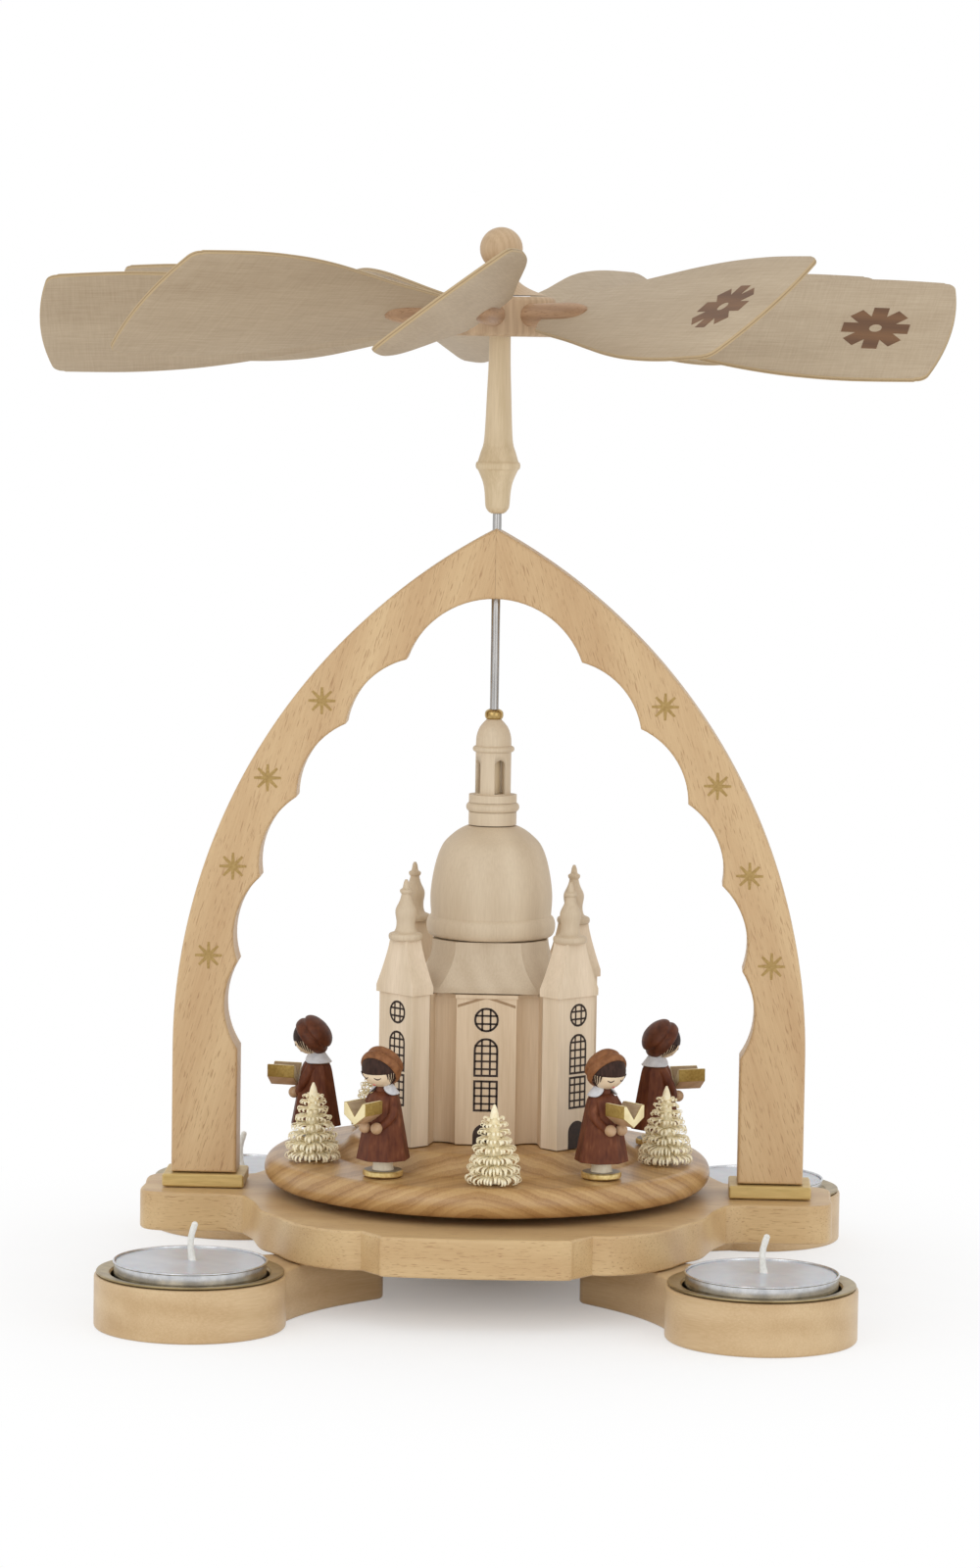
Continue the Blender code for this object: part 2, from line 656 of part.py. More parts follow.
def make_arch():
    bore = rod_shape(SPINDLE_BORE + GAP, ARCH_SPRING, ARCH_APEX + OVERRUN, SMALL_STEPS)
    cutter = helper("arch_bore_cutter", to_mesh("arch_bore_cutter", bore))
    for name, side in (("arch_left", -1), ("arch_right", 1)):
        bm = prism([(side * x, z) for x, z in arch_outline()], -ARCH_THICKNESS / 2, ARCH_THICKNESS / 2)
        ease_flat_edges(bm, ARCH_ROUNDING)
        upright = Matrix.Rotation(math.pi / 2, 4, "X")
        bmesh.ops.transform(bm, matrix=upright, verts=bm.verts)
        half = add_object(name, to_mesh(name, bm), beech())
        cut(half, cutter)


def make_spindle():
    profile = [
        (0, SPINDLE_BOTTOM), (SPINDLE_RADIUS, SPINDLE_BOTTOM + SPINDLE_POINT),
        (SPINDLE_RADIUS, SPINDLE_TOP - SPINDLE_RADIUS), (SPINDLE_RADIUS / 2, SPINDLE_TOP), (0, SPINDLE_TOP),
    ]
    add_object("spindle_rod", to_mesh("spindle_rod", spun(profile, TINY_STEPS)), steel())


def platform_profile():
    """From the bore's foot out along the underside, round the edge and in over the cove."""
    edge = PLATFORM_RADIUS - PLATFORM_THICKNESS / 2
    middle = (PLATFORM_BOTTOM + PLATFORM_TOP) / 2
    profile = [(SPINDLE_BORE, PLATFORM_BOTTOM), (PLATFORM_UNDER_RADIUS, PLATFORM_BOTTOM)]
    profile += arc((edge, middle), PLATFORM_THICKNESS / 2, -math.pi / 2, math.pi / 2, EDGE_POINTS)
    for i in range(COVE_POINTS):
        share = i / (COVE_POINTS - 1)
        rise = (1 - math.cos(math.pi * share)) / 2
        profile.append((
            RAISE_FOOT_RADIUS + (RAISE_RADIUS - RAISE_FOOT_RADIUS) * share,
            PLATFORM_TOP + PLATFORM_RAISE * rise,
        ))
    return profile + [(SPINDLE_BORE, PLATFORM_TOP + PLATFORM_RAISE)]


def make_platform():
    bm = spun(platform_profile(), WIDE_STEPS, closed=True)
    add_object("platform", to_mesh("platform", bm), honey_wood())


def wing_end():
    """How far the corner wings reach along the diagonal, to stop just short of the towers."""
    return TOWER_DISTANCE - TOWER_DEPTH / 2 - GAP


def church_outline(grow):
    """Four bays in the middle of the sides, recesses beside them, and a wing at each corner."""
    bay = BAY_HALF_WIDTH + grow
    front = BAY_FRONT + grow
    recess = RECESS_FRONT + grow
    side = RECESS_END - grow
    near = (wing_end() - TOWER_WIDTH / 2) / math.sqrt(2)
    far = (wing_end() + TOWER_WIDTH / 2) / math.sqrt(2)
    half = [(front, 0), (front, bay), (recess, bay), (recess, side), (far, near)]
    return mirrored_quarters(half + [(y, x) for x, y in reversed(half)])


def make_church_body():
    """The walls, with a thin cornice round their top."""
    bm = prism(church_outline(0), CHURCH_BASE, CHURCH_TOP - CORNICE_HEIGHT / 2)
    body = add_object("church_body", to_mesh("church_body", bm), pale_wood())
    cornice = prism(church_outline(CORNICE_OVERHANG), CHURCH_TOP - CORNICE_HEIGHT, CHURCH_TOP)
    join(body, helper("cornice_join", to_mesh("cornice_join", cornice)))
    bore = rod_shape(SPINDLE_BORE, CHURCH_BASE - OVERRUN, CHURCH_TOP + OVERRUN, TINY_STEPS)
    cut(body, helper("church_bore_cutter", to_mesh("church_bore_cutter", bore)))


def loft(rings):
    """A solid through closed rings of points, lowest first, with flat ends."""
    bm = bmesh.new()
    rows = [[bm.verts.new(point) for point in ring] for ring in rings]
    for lower, upper in zip(rows, rows[1:]):
        for i in range(len(lower)):
            bm.faces.new((lower[i - 1], lower[i], upper[i], upper[i - 1]))
    bm.faces.new(rows[0])
    bm.faces.new(rows[-1])
    return bm


def rectangle(depth, width, height):
    """The corners of a level rectangle, its depth along X."""
    x = depth / 2
    y = width / 2
    return [(x, -y, height), (x, y, height), (-x, y, height), (-x, -y, height)]


def tower_shape():
    """Walls, a band of eaves and a hipped roof that narrows to the finial."""
    wall_top = CHURCH_TOP + GAP
    band_top = wall_top + EAVE_HEIGHT
    roof_top = wall_top + TOWER_ROOF_HEIGHT
    depth = TOWER_DEPTH + 2 * EAVE_OVERHANG
    width = TOWER_WIDTH + 2 * EAVE_OVERHANG
    rings = [
        rectangle(TOWER_DEPTH, TOWER_WIDTH, CHURCH_BASE), rectangle(TOWER_DEPTH, TOWER_WIDTH, wall_top),
        rectangle(depth, width, wall_top), rectangle(depth, width, band_top),
    ]
    for i in range(1, TOWER_ROOF_STEPS + 1):
        share = i / TOWER_ROOF_STEPS
        left = (1 - share) ** TOWER_ROOF_POWER
        rings.append(rectangle(
            TOWER_ROOF_TOP_DEPTH + (depth - TOWER_ROOF_TOP_DEPTH) * left,
            TOWER_ROOF_TOP_WIDTH + (width - TOWER_ROOF_TOP_WIDTH) * left,
            band_top + (roof_top - band_top) * share,
        ))
    return loft(rings)


def make_tower(name, place):
    """A slab with its windowed wall outwards, a hipped roof and a turned finial."""
    tower = add_object(name, to_mesh(name, tower_shape()), pale_wood(), place)
    foot = CHURCH_TOP + GAP + TOWER_ROOF_HEIGHT - FINIAL_SINK
    profile = [(FINIAL_RADIUS * radius, foot + FINIAL_HEIGHT * height) for height, radius in FINIAL_SHARES]
    finial = spun([(0, foot), *profile, (0, profile[-1][1])], FINE_STEPS)
    join(tower, helper(name + "_finial_join", to_mesh(name + "_finial_join", finial), place))


def make_towers():
    for name, angle in (
        ("front_left", -135), ("front_right", -45), ("rear_right", 45), ("rear_left", 135),
    ):
        make_tower("church_tower_" + name, turned(math.radians(angle), TOWER_DISTANCE))


def make_church_roof():
    """A roof of eight hollow slopes that sweep up to the dome."""
    profile = []
    for i in range(ROOF_POINTS):
        share = i / (ROOF_POINTS - 1)
        size = ROOF_TOP + (ROOF_BASE - ROOF_TOP) * (1 - share) ** ROOF_SWEEP_POWER
        profile.append((size / math.cos(math.pi / ROOF_SIDES), ROOF_BOTTOM + ROOF_HEIGHT * share))
    loop = [(SPINDLE_BORE, ROOF_BOTTOM), *profile, (SPINDLE_BORE, ROOF_BOTTOM + ROOF_HEIGHT)]
    bm = spun(loop, ROOF_SIDES, closed=True)
    quarter_side = Matrix.Rotation(math.pi / ROOF_SIDES, 4, "Z")
    bmesh.ops.transform(bm, matrix=quarter_side, verts=bm.verts)
    add_object("church_roof", to_mesh("church_roof", bm), pale_wood())


def make_church_dome():
    """A rounded ring with the tall dome above it."""
    ring_radius = DOME_RING_HEIGHT / 2
    middle = (DOME_RING_RADIUS - ring_radius, DOME_BOTTOM + ring_radius)
    ring = arc(middle, ring_radius, -math.pi / 2, math.pi / 2, EDGE_POINTS)[:-1]
    ring_top = DOME_BOTTOM + DOME_RING_HEIGHT
    shell = [(DOME_RADIUS * radius, ring_top + DOME_HEIGHT * height) for height, radius in DOME_SHARES]
    profile = [(SPINDLE_BORE, DOME_BOTTOM), *ring, *shell, (SPINDLE_BORE, DOME_TOP)]
    add_object("church_dome", to_mesh("church_dome", spun(profile, ROUND_STEPS, closed=True)), pale_wood())


def lantern_profile():
    """Down the outside from the cap, and up the inside of the hollow."""
    ring_bottom = LANTERN_BOTTOM + LANTERN_DRUM_HEIGHT
    ring_top = ring_bottom + LANTERN_RING_HEIGHT
    wall_top = LANTERN_WALL_BOTTOM + LANTERN_WALL_HEIGHT
    ring_radius = (LANTERN_DRUM_RADIUS + LANTERN_RING_RADIUS) / 2
    drum = [
        (LANTERN_DRUM_RADIUS, LANTERN_BOTTOM), (LANTERN_DRUM_RADIUS, ring_bottom), (ring_radius, ring_bottom),
        (LANTERN_RING_RADIUS, (ring_bottom + ring_top) / 2), (ring_radius, ring_top),
        (LANTERN_DRUM_RADIUS, ring_top), (LANTERN_DRUM_RADIUS, LANTERN_WALL_BOTTOM),
    ]
    cap = [
        (LANTERN_RADIUS * radius, LANTERN_CAP_BOTTOM + LANTERN_CAP_HEIGHT * height)
        for height, radius in LANTERN_CAP_SHARES
    ]
    return [
        (SPINDLE_BORE, LANTERN_BOTTOM), *drum, (LANTERN_RADIUS, LANTERN_WALL_BOTTOM),
        (LANTERN_RADIUS, wall_top), (LANTERN_CORNICE_RADIUS, wall_top),
        (LANTERN_CORNICE_RADIUS, LANTERN_CAP_BOTTOM), *cap,
        (SPINDLE_BORE, LANTERN_CAP_BOTTOM + LANTERN_CAP_HEIGHT),
        (SPINDLE_BORE, wall_top), (LANTERN_BORE, wall_top),
        (LANTERN_BORE, LANTERN_WALL_BOTTOM), (SPINDLE_BORE, LANTERN_WALL_BOTTOM),
    ]


def make_lantern():
    """The little open turret on the dome, with round-headed openings in its wall."""
    bm = spun(lantern_profile(), SMALL_STEPS, closed=True)
    lantern = add_object("lantern", to_mesh("lantern", bm), pale_wood())
    half = LANTERN_OPENING_WIDTH / 2
    bottom = LANTERN_WALL_BOTTOM + GAP
    spring = bottom + LANTERN_OPENING_HEIGHT - half
    outline = [(-half, bottom), (half, bottom)] + arc((0, spring), half, 0, math.pi, LANTERN_ARC_POINTS)
    for i in range(LANTERN_OPENINGS // 2):
        bm = prism(outline, -LANTERN_DRUM_RADIUS, LANTERN_DRUM_RADIUS)
        upright = Matrix.Rotation(math.pi / 2, 4, "X")
        bmesh.ops.transform(bm, matrix=upright, verts=bm.verts)
        name = f"lantern_opening_cutter_{i + 1}"
        place = turned(LANTERN_TURN + FULL_TURN / LANTERN_OPENINGS * i)
        cut(lantern, helper(name, to_mesh(name, bm), place))


def make_bead():
    profile = [(BEAD_RADIUS * radius, BEAD_BOTTOM + BEAD_HEIGHT * height) for height, radius in BEAD_SHARES]
    loop = [(SPINDLE_BORE, BEAD_BOTTOM), *profile, (SPINDLE_BORE, BEAD_BOTTOM + BEAD_HEIGHT)]
    add_object("brass_bead", to_mesh("brass_bead", spun(loop, SMALL_STEPS, closed=True)), brass())


def ball(radius, steps, centre, flatten=1.0):
    """A turned ball, a little flattened where the piece needs it."""
    rows = steps // 2
    angles = [math.pi * i / rows for i in range(rows + 1)]
    profile = [(radius * math.sin(angle), -radius * flatten * math.cos(angle)) for angle in angles]
    profile[0] = (0, profile[0][1])
    profile[-1] = (0, profile[-1][1])
    bm = spun(profile, steps)
    bmesh.ops.translate(bm, verts=bm.verts, vec=centre)
    return bm


def coat_profile():
    """The carved coat, from the hem to the shoulders."""
    hem = FIGURE_BASE_HEIGHT + LEG_HEIGHT
    spread = COAT_HEM_RADIUS - COAT_TOP_RADIUS
    return [(COAT_TOP_RADIUS + spread * share, hem + COAT_HEIGHT * height) for height, share in COAT_SHARES]


def collar_profile():
    """The collar, from the shoulders up into the chin."""
    foot = FIGURE_BASE_HEIGHT + LEG_HEIGHT + COAT_HEIGHT - COLLAR_SINK
    return [(COAT_TOP_RADIUS * radius, foot + COLLAR_HEIGHT * height) for height, radius in COLLAR_SHARES]


def head_centre():
    return Vector((HEAD_FORWARD, 0, FIGURE_BASE_HEIGHT + LEG_HEIGHT + COAT_HEIGHT + HEAD_LIFT))


def make_figure(name, place):
    """One carol singer, facing local +X: base disc, legs, coat, head and cap in one carved piece."""
    coat = coat_profile()
    body = spun([(0, coat[0][1]), *coat, (0, coat[-1][1])], COAT_SIDES)
    figure = add_object(name, to_mesh(name, body), coat_paint(), place)
    collar = collar_profile()
    disc = rod_shape(FIGURE_BASE_RADIUS, 0, FIGURE_BASE_HEIGHT, SMALL_STEPS)
    legs = rod_shape(LEG_RADIUS, FIGURE_BASE_HEIGHT - GAP, coat[0][1] + GAP, TINY_STEPS)
    head = ball(HEAD_RADIUS, TINY_STEPS, head_centre())
    cap_centre = head_centre() + Vector((CAP_FORWARD - HEAD_FORWARD, 0, CAP_LIFT))
    cap = ball(CAP_RADIUS, TINY_STEPS, cap_centre, CAP_HEIGHT_SHARE)
    neck = spun([(0, collar[0][1]), *collar, (0, collar[-1][1])], TINY_STEPS)
    pieces = {"disc": disc, "legs": legs, "collar": neck, "head": head, "cap": cap}
    for side, word in ((-1, "right"), (1, "left")):
        centre = (HAND_FORWARD, side * HAND_SPREAD, FIGURE_BASE_HEIGHT + LEG_HEIGHT + HAND_HEIGHT)
        pieces[word + "_hand"] = ball(HAND_RADIUS, HAND_STEPS, centre)
        arm = rod_shape(FOREARM_RADIUS, COAT_TOP_RADIUS / 2, HAND_FORWARD, HAND_STEPS)
        lie_down = Matrix.Translation((0, centre[1], centre[2])) @ Matrix.Rotation(math.pi / 2, 4, "Y")
        bmesh.ops.transform(arm, matrix=lie_down, verts=arm.verts)
        pieces[word + "_forearm"] = arm
    for word, bm in pieces.items():
        helper_name = f"{name}_{word}_join"
        join(figure, helper(helper_name, to_mesh(helper_name, bm), place))


def book_place(place):
    """The book lies open on the hands and points away from the singer."""
    height = FIGURE_BASE_HEIGHT + LEG_HEIGHT + HAND_HEIGHT + HAND_RADIUS
    return place @ Matrix.Translation((BOOK_START, 0, height))


def make_book(name, place):
    """An open book: a bevelled block with a V-shaped groove along its top."""
    groove = BOOK_HALF_WIDTH - BOOK_EDGE
    outline = [
        (0, 0), (BOOK_HALF_WIDTH, BOOK_BEVEL_HEIGHT), (BOOK_HALF_WIDTH, BOOK_HEIGHT), (groove, BOOK_HEIGHT),
        (0, BOOK_GROOVE_FLOOR), (-groove, BOOK_HEIGHT), (-BOOK_HALF_WIDTH, BOOK_HEIGHT),
        (-BOOK_HALF_WIDTH, BOOK_BEVEL_HEIGHT),
    ]
    bm = prism(outline, 0, BOOK_LENGTH)
    along = Matrix(((0, 0, 1, 0), (1, 0, 0, 0), (0, 1, 0, 0), (0, 0, 0, 1)))
    bmesh.ops.transform(bm, matrix=along, verts=bm.verts)
    add_object(name, to_mesh(name, bm), book_paint(), book_place(place))


def lobed_ring(steps, outer, inner, height, turn):
    """A ring of points whose radius goes in and out."""
    ring = []
    for i in range(steps):
        angle = FULL_TURN * (i + turn) / steps
        radius = outer if i % 2 else inner
        ring.append((radius * math.cos(angle), radius * math.sin(angle), height))
    return ring


def make_tree(name, place):
    """Tiers of curled shavings round a core, each tier a ring of drooping lobes."""
    steps = 2 * TREE_LOBES
    tier_height = TREE_HEIGHT / (TREE_TIERS + 1)
    rings = []
    for tier in range(TREE_TIERS):
        reach = TREE_RADIUS * (1 - tier / (TREE_TIERS + 1))
        core = reach * TREE_CORE_SHARE
        low = tier * tier_height
        rings.append(lobed_ring(steps, reach, reach * TREE_NOTCH_SHARE, low, tier % 2))
        rings.append(lobed_ring(steps, core, core, low + tier_height, tier % 2))
    tip = reach * TREE_TIP_SHARE
    rings.append(lobed_ring(steps, tip, tip, TREE_HEIGHT, 0))
    add_object(name, to_mesh(name, loft(rings)), shavings(), place)


def make_singers_and_trees():
    names = ("front_left", "front_right", "right", "rear", "left")
    tree_names = ("front", "right", "rear_right", "rear_left", "left")
    for i in range(FIGURES):
        place = turned(FIRST_FIGURE + FIGURE_PITCH * i, FIGURE_CIRCLE, PLATFORM_TOP + GAP)
        make_figure("singer_" + names[i], place)
        make_book("book_" + names[i], place)
        place = turned(FIRST_TREE + FIGURE_PITCH * i, TREE_CIRCLE, PLATFORM_TOP + GAP)
        make_tree("tree_" + tree_names[i], place)


def make_sleeve():
    """The turned handle under the hub, which slips over the spindle."""
    side = []
    for height, radius in SLEEVE_SHARES:
        side.append((SLEEVE_RADIUS * radius, ROTOR_BOTTOM + SLEEVE_HEIGHT * height))
    loop = [(SPINDLE_BORE, ROTOR_BOTTOM), *side, (SPINDLE_BORE, ROTOR_BOTTOM + SLEEVE_HEIGHT)]
    add_object("rotor_sleeve", to_mesh("rotor_sleeve", spun(loop, SMALL_STEPS, closed=True)), beech())


def make_hub():
    """A disc with a rounded rim and a hole for each stem."""
    corner = HUB_RADIUS - HUB_ROUNDING
    lower = arc((corner, HUB_BOTTOM + HUB_ROUNDING), HUB_ROUNDING, -math.pi / 2, 0, HUB_RIM_POINTS)
    upper = arc((corner, HUB_TOP - HUB_ROUNDING), HUB_ROUNDING, 0, math.pi / 2, HUB_RIM_POINTS)
    loop = [(SPINDLE_BORE, HUB_BOTTOM), *lower, *upper, (SPINDLE_BORE, HUB_TOP)]
    hub = add_object("rotor_hub", to_mesh("rotor_hub", spun(loop, 2 * BLADES, closed=True)), beech())
    start = HUB_RADIUS - STEM_HOLE_DEPTH
    for i in range(BLADES):
        bm = rod_shape(STEM_RADIUS + RUN, start, HUB_RADIUS + OVERRUN, FINE_STEPS)
        name = f"stem_hole_cutter_{i + 1}"
        cut(hub, helper(name, to_mesh(name, bm), blade_place(i) @ Matrix.Rotation(math.pi / 2, 4, "Y")))


def make_finial():
    """The ball on its hollow-sided foot, bored from below for the spindle's end."""
    foot_top = FINIAL_BOTTOM + FINIAL_FOOT_HEIGHT
    side = []
    for i in range(FINIAL_FOOT_POINTS):
        share = i / (FINIAL_FOOT_POINTS - 1)
        left = (1 - share) ** FINIAL_FOOT_POWER
        radius = FINIAL_NECK_RADIUS + (FINIAL_FOOT_RADIUS - FINIAL_NECK_RADIUS) * left
        side.append((radius, FINIAL_BOTTOM + FINIAL_FOOT_HEIGHT * share))
    centre = (0, FINIAL_BOTTOM + BALL_CENTRE)
    start = -math.acos(FINIAL_NECK_RADIUS / BALL_RADIUS)
    sphere = arc(centre, BALL_RADIUS, start, math.pi / 2, EDGE_POINTS)
    sphere = [point for point in sphere if point[1] > foot_top]
    sphere[-1] = (0, sphere[-1][1])
    bore_top = SPINDLE_TOP + GAP
    loop = [(0, bore_top), (SPINDLE_BORE, bore_top), (SPINDLE_BORE, FINIAL_BOTTOM), *side, *sphere]
    add_object("rotor_finial", to_mesh("rotor_finial", spun(loop, SMALL_STEPS)), beech())


def blade_place(index):
    """The stem's own frame: +X out along the stem, at the hub's mid height."""
    angle = FIRST_BLADE + FULL_TURN * index / BLADES
    lift = math.radians(STEM_LIFTS[index])
    return turned(angle, 0, BLADE_HEIGHT) @ Matrix.Rotation(-lift, 4, "Y")


def blade_outline():
    """The paddle in X and Y: a narrow root, swelling sides and a slanted tip with rounded corners."""
    length = BLADE_TIP - BLADE_ROOT
    sides = [(BLADE_ROOT + length * along, BLADE_WIDTH * width / 2) for along, width in BLADE_SHARES]
    tip_half = sides[-1][1]
    slant = BLADE_TIP_SLANT
    left = [(x + slant * x / BLADE_TIP, y) for x, y in sides[1:-1]]
    right = [(x - slant * x / BLADE_TIP, -y) for x, y in sides[1:-1]]
    root_half = sides[0][1]
    root = [
        (BLADE_ROOT + BLADE_ROOT_ROUNDING / 2, -root_half), (BLADE_ROOT, BLADE_ROOT_ROUNDING / 2 - root_half),
        (BLADE_ROOT, root_half - BLADE_ROOT_ROUNDING / 2), (BLADE_ROOT + BLADE_ROOT_ROUNDING / 2, root_half),
    ]
    high = arc((BLADE_TIP + slant - BLADE_TIP_ROUNDING, tip_half - BLADE_TIP_ROUNDING), BLADE_TIP_ROUNDING,
               math.pi / 2, 0, BLADE_CORNER_POINTS)
    low = arc((BLADE_TIP - slant - BLADE_TIP_ROUNDING, BLADE_TIP_ROUNDING - tip_half), BLADE_TIP_ROUNDING,
              0, -math.pi / 2, BLADE_CORNER_POINTS)
    return root + left + high + low + list(reversed(right))


def stem_shape():
    """A dowel along +X that runs from its hole in the hub to a wedge on the blade."""
    start = HUB_RADIUS - STEM_HOLE_DEPTH + GAP
    bm = rod_shape(STEM_RADIUS, start, STEM_END, FINE_STEPS)
    for vert in bm.verts:
        if vert.co.z > STEM_END - MERGE:
            vert.co.y *= STEM_WEDGE_HALF / STEM_RADIUS
    wedge_start = STEM_END - STEM_WEDGE
    whole = bm.verts[:] + bm.edges[:] + bm.faces[:]
    bmesh.ops.bisect_plane(bm, geom=whole, plane_co=(0, 0, wedge_start), plane_no=(0, 0, 1))
    for vert in bm.verts:
        if abs(vert.co.z - wedge_start) < MERGE:
            size = math.hypot(vert.co.x, vert.co.y)
            if size > MERGE:
                vert.co.x *= STEM_RADIUS / size
                vert.co.y *= STEM_RADIUS / size
    lie_down = Matrix.Rotation(math.pi / 2, 4, "Y")
    bmesh.ops.transform(bm, matrix=lie_down, verts=bm.verts)
    return bm


def make_blades():
    """Nine blades, each let into its slotted stem and set at the same pitch."""
    for i in range(BLADES):
        name = f"blade_{i + 1}"
        bm = prism(blade_outline(), -BLADE_THICKNESS / 2, BLADE_THICKNESS / 2)
        place = blade_place(i) @ Matrix.Rotation(BLADE_PITCH_ANGLE, 4, "X")
        blade = add_object(name, to_mesh(name, bm), plywood(), place)
        stem_name = name + "_stem_join"
        join(blade, helper(stem_name, to_mesh(stem_name, stem_shape()), place))


def main():
    clear_scene()
    make_base_plate()
    make_candle_places()
    make_pivot_bearing()
    make_foot_plates()
    make_arch()
    make_spindle()
    make_platform()
    make_church_body()
    make_towers()
    make_church_roof()
    make_church_dome()
    make_lantern()
    make_bead()
    make_singers_and_trees()
    make_sleeve()
    make_hub()
    make_finial()
    make_blades()


main()
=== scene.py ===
"""The candle carousel dressed for its picture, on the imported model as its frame.

Units are metres, +Z is up and the front is towards -Y. Places and outer sizes come from the frame's
nodes. Each surface has a procedural material, and each piece rides on the body that carries it.
"""

import math
import random

import bmesh
import bpy
from mathutils import Matrix, Vector


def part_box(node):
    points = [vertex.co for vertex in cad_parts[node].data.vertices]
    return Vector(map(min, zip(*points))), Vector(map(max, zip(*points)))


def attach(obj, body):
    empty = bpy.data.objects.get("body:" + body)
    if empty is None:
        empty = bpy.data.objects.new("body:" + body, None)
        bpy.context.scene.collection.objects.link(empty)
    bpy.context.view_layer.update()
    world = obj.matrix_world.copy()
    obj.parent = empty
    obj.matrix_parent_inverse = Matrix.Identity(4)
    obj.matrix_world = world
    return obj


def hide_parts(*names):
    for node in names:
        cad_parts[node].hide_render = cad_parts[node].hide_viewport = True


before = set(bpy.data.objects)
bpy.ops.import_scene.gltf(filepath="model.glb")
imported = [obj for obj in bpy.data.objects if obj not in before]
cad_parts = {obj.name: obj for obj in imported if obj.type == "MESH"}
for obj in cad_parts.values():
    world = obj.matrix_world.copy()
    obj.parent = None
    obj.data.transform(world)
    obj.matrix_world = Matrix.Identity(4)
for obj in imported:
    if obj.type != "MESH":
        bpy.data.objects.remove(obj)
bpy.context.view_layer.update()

# Fineness
FULL_TURN = math.tau
TURN_STEPS = 128
ROUND_STEPS = 64
SMALL_STEPS = 32
EDGE_STEPS = 24
CURVE_STEPS = 8
BEVEL_STEPS = 3
MERGE = 0.000002
SHARP_ANGLE = math.radians(32)
OVERRUN = 0.002
PRINT = 0.00006
X, Y, Z = 0, 1, 2
NO_TILT = (0.0, 0.0, 0.0)
WHITE = (1.0, 1.0, 1.0, 1.0)
# Stands a prism up, so that its outline is in X and Z
UPRIGHT = Matrix.Rotation(math.pi / 2, 4, "X")
# Lays a shape's X across, its Y up and its Z outwards, in a frame that faces local +X
FACING_OUT = Matrix(((0, 0, 1, 0), (1, 0, 0, 0), (0, 1, 0, 0), (0, 0, 0, 1)))

# Places and counts
CANDLE_SIDES = ("front_left", "front_right", "rear_left", "rear_right")
SINGERS = ("front_left", "front_right", "right", "rear", "left")
TREES = ("front", "right", "rear_right", "rear_left", "left")
BAYS = {"front": -90, "right": 0, "rear": 90, "left": 180}
TOWERS = {"front_left": -135, "front_right": -45, "rear_right": 45, "rear_left": 135}
FIRST_FIGURE = math.radians(-122)
FIRST_TREE = math.radians(-86)
BLADES = 9
FIRST_BLADE = math.radians(-95)
BLADE_PITCH_ANGLE = math.radians(36.7)
STEM_LIFTS = (1.6, 1.4, -1.2, 0.0, 0.4, 0.2, 0.0, -1.8, 1.0)


def heights(node):
    """The lowest and highest height of a CAD node."""
    low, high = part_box(node)
    return low[Z], high[Z]


def centre_of(node):
    low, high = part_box(node)
    return (Vector(low) + Vector(high)) / 2


def reach(node, axis=X):
    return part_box(node)[1][axis]


def radius_of(node):
    """The radius of a round node, wherever it stands."""
    return reach(node) - centre_of(node).x


# Shapes that the frame's boxes don't give
PLATE_ROUNDING = 0.0007
CENTRE_LOBE_SHARES = ((0.0, 1.0), (0.236, 0.982), (0.274, 0.952), (0.322, 0.878))
SIDE_LOBE_SHARES = (
    (0.322, 0.878), (0.374, 0.877), (0.458, 0.83), (0.528, 0.74), (0.579, 0.618), (0.627, 0.526),
    (0.66, 0.36), (0.697, 0.24),
)
END_LOBE_SHARES = ((0.697, 0.24), (0.76, 0.21), (0.94, 0.208), (1.0, 0.15), (1.0, 0.0))
HOLDER_RADIUS = 0.0238
TAIL_START = 0.0205
TAIL_END = 0.062
TAIL_END_HALF_WIDTH = 0.0041
TAIL_CURVE_POWER = 2.5
ARM_ROUNDING = 0.0007
ARM_FLOOR = 0.0015
HOLE_RADIUS = 0.0204
INSERT_WALL = 0.0004
INSERT_FLANGE = 0.0005
TEALIGHT_WALL = 0.00025
TEALIGHT_RIM = 0.00028
WAX_DROP = 0.0004
WICK_RADIUS = 0.0008
WICK_HEIGHT = 0.0098
WICK_LEAN = 0.0012
WICK_FOOT = 0.75
WICK_TIP_SHARE = 0.55
ARCH_ROUNDING = 0.0009
ARCH_LEG_WIDTH = 0.0169
ARCH_RISE = 0.136
ARCH_CUSP_DEPTH = 0.0148
ARCH_CROWN_DEPTH = 0.018
SCALLOPS = 5
SCALLOP_PITCH = math.radians(9.45)
SCALLOP_SAGITTA = 0.0034
SEAM = 0.00015
GLUE_LINE = 0.00002
COVE_STEP = 0.0008
COVE_DEPTH = 0.0011
RECESS_DEPTH = 0.0037
CORNICE_HEIGHT = 0.001
CORNICE_OVERHANG = 0.0003
WING_HALF_WIDTH = 0.00635
SPINDLE_POINT = 0.003
PLATFORM_THICKNESS = 0.0076
PLATFORM_UNDERCUT = 0.0077
RAISE_RADIUS = 0.0335
RAISE_FOOT_RADIUS = 0.0405
BORE = 0.0014
BAY_HALF_WIDTH = 0.0077
BAY_FRONT = 0.0207
TOWER_DISTANCE = 0.0297
TOWER_WIDTH = 0.0127
TOWER_DEPTH = 0.0059
EAVE_OVERHANG = 0.0006
EAVE_HEIGHT = 0.0018
TOWER_ROOF_HEIGHT = 0.0139
TOWER_ROOF_TOP_WIDTH = 0.0062
TOWER_ROOF_TOP_DEPTH = 0.005
TOWER_ROOF_POWER = 1.25
FINIAL_SINK = 0.0003
FINIAL_HEIGHT = 0.0155
FINIAL_RADIUS = 0.00435
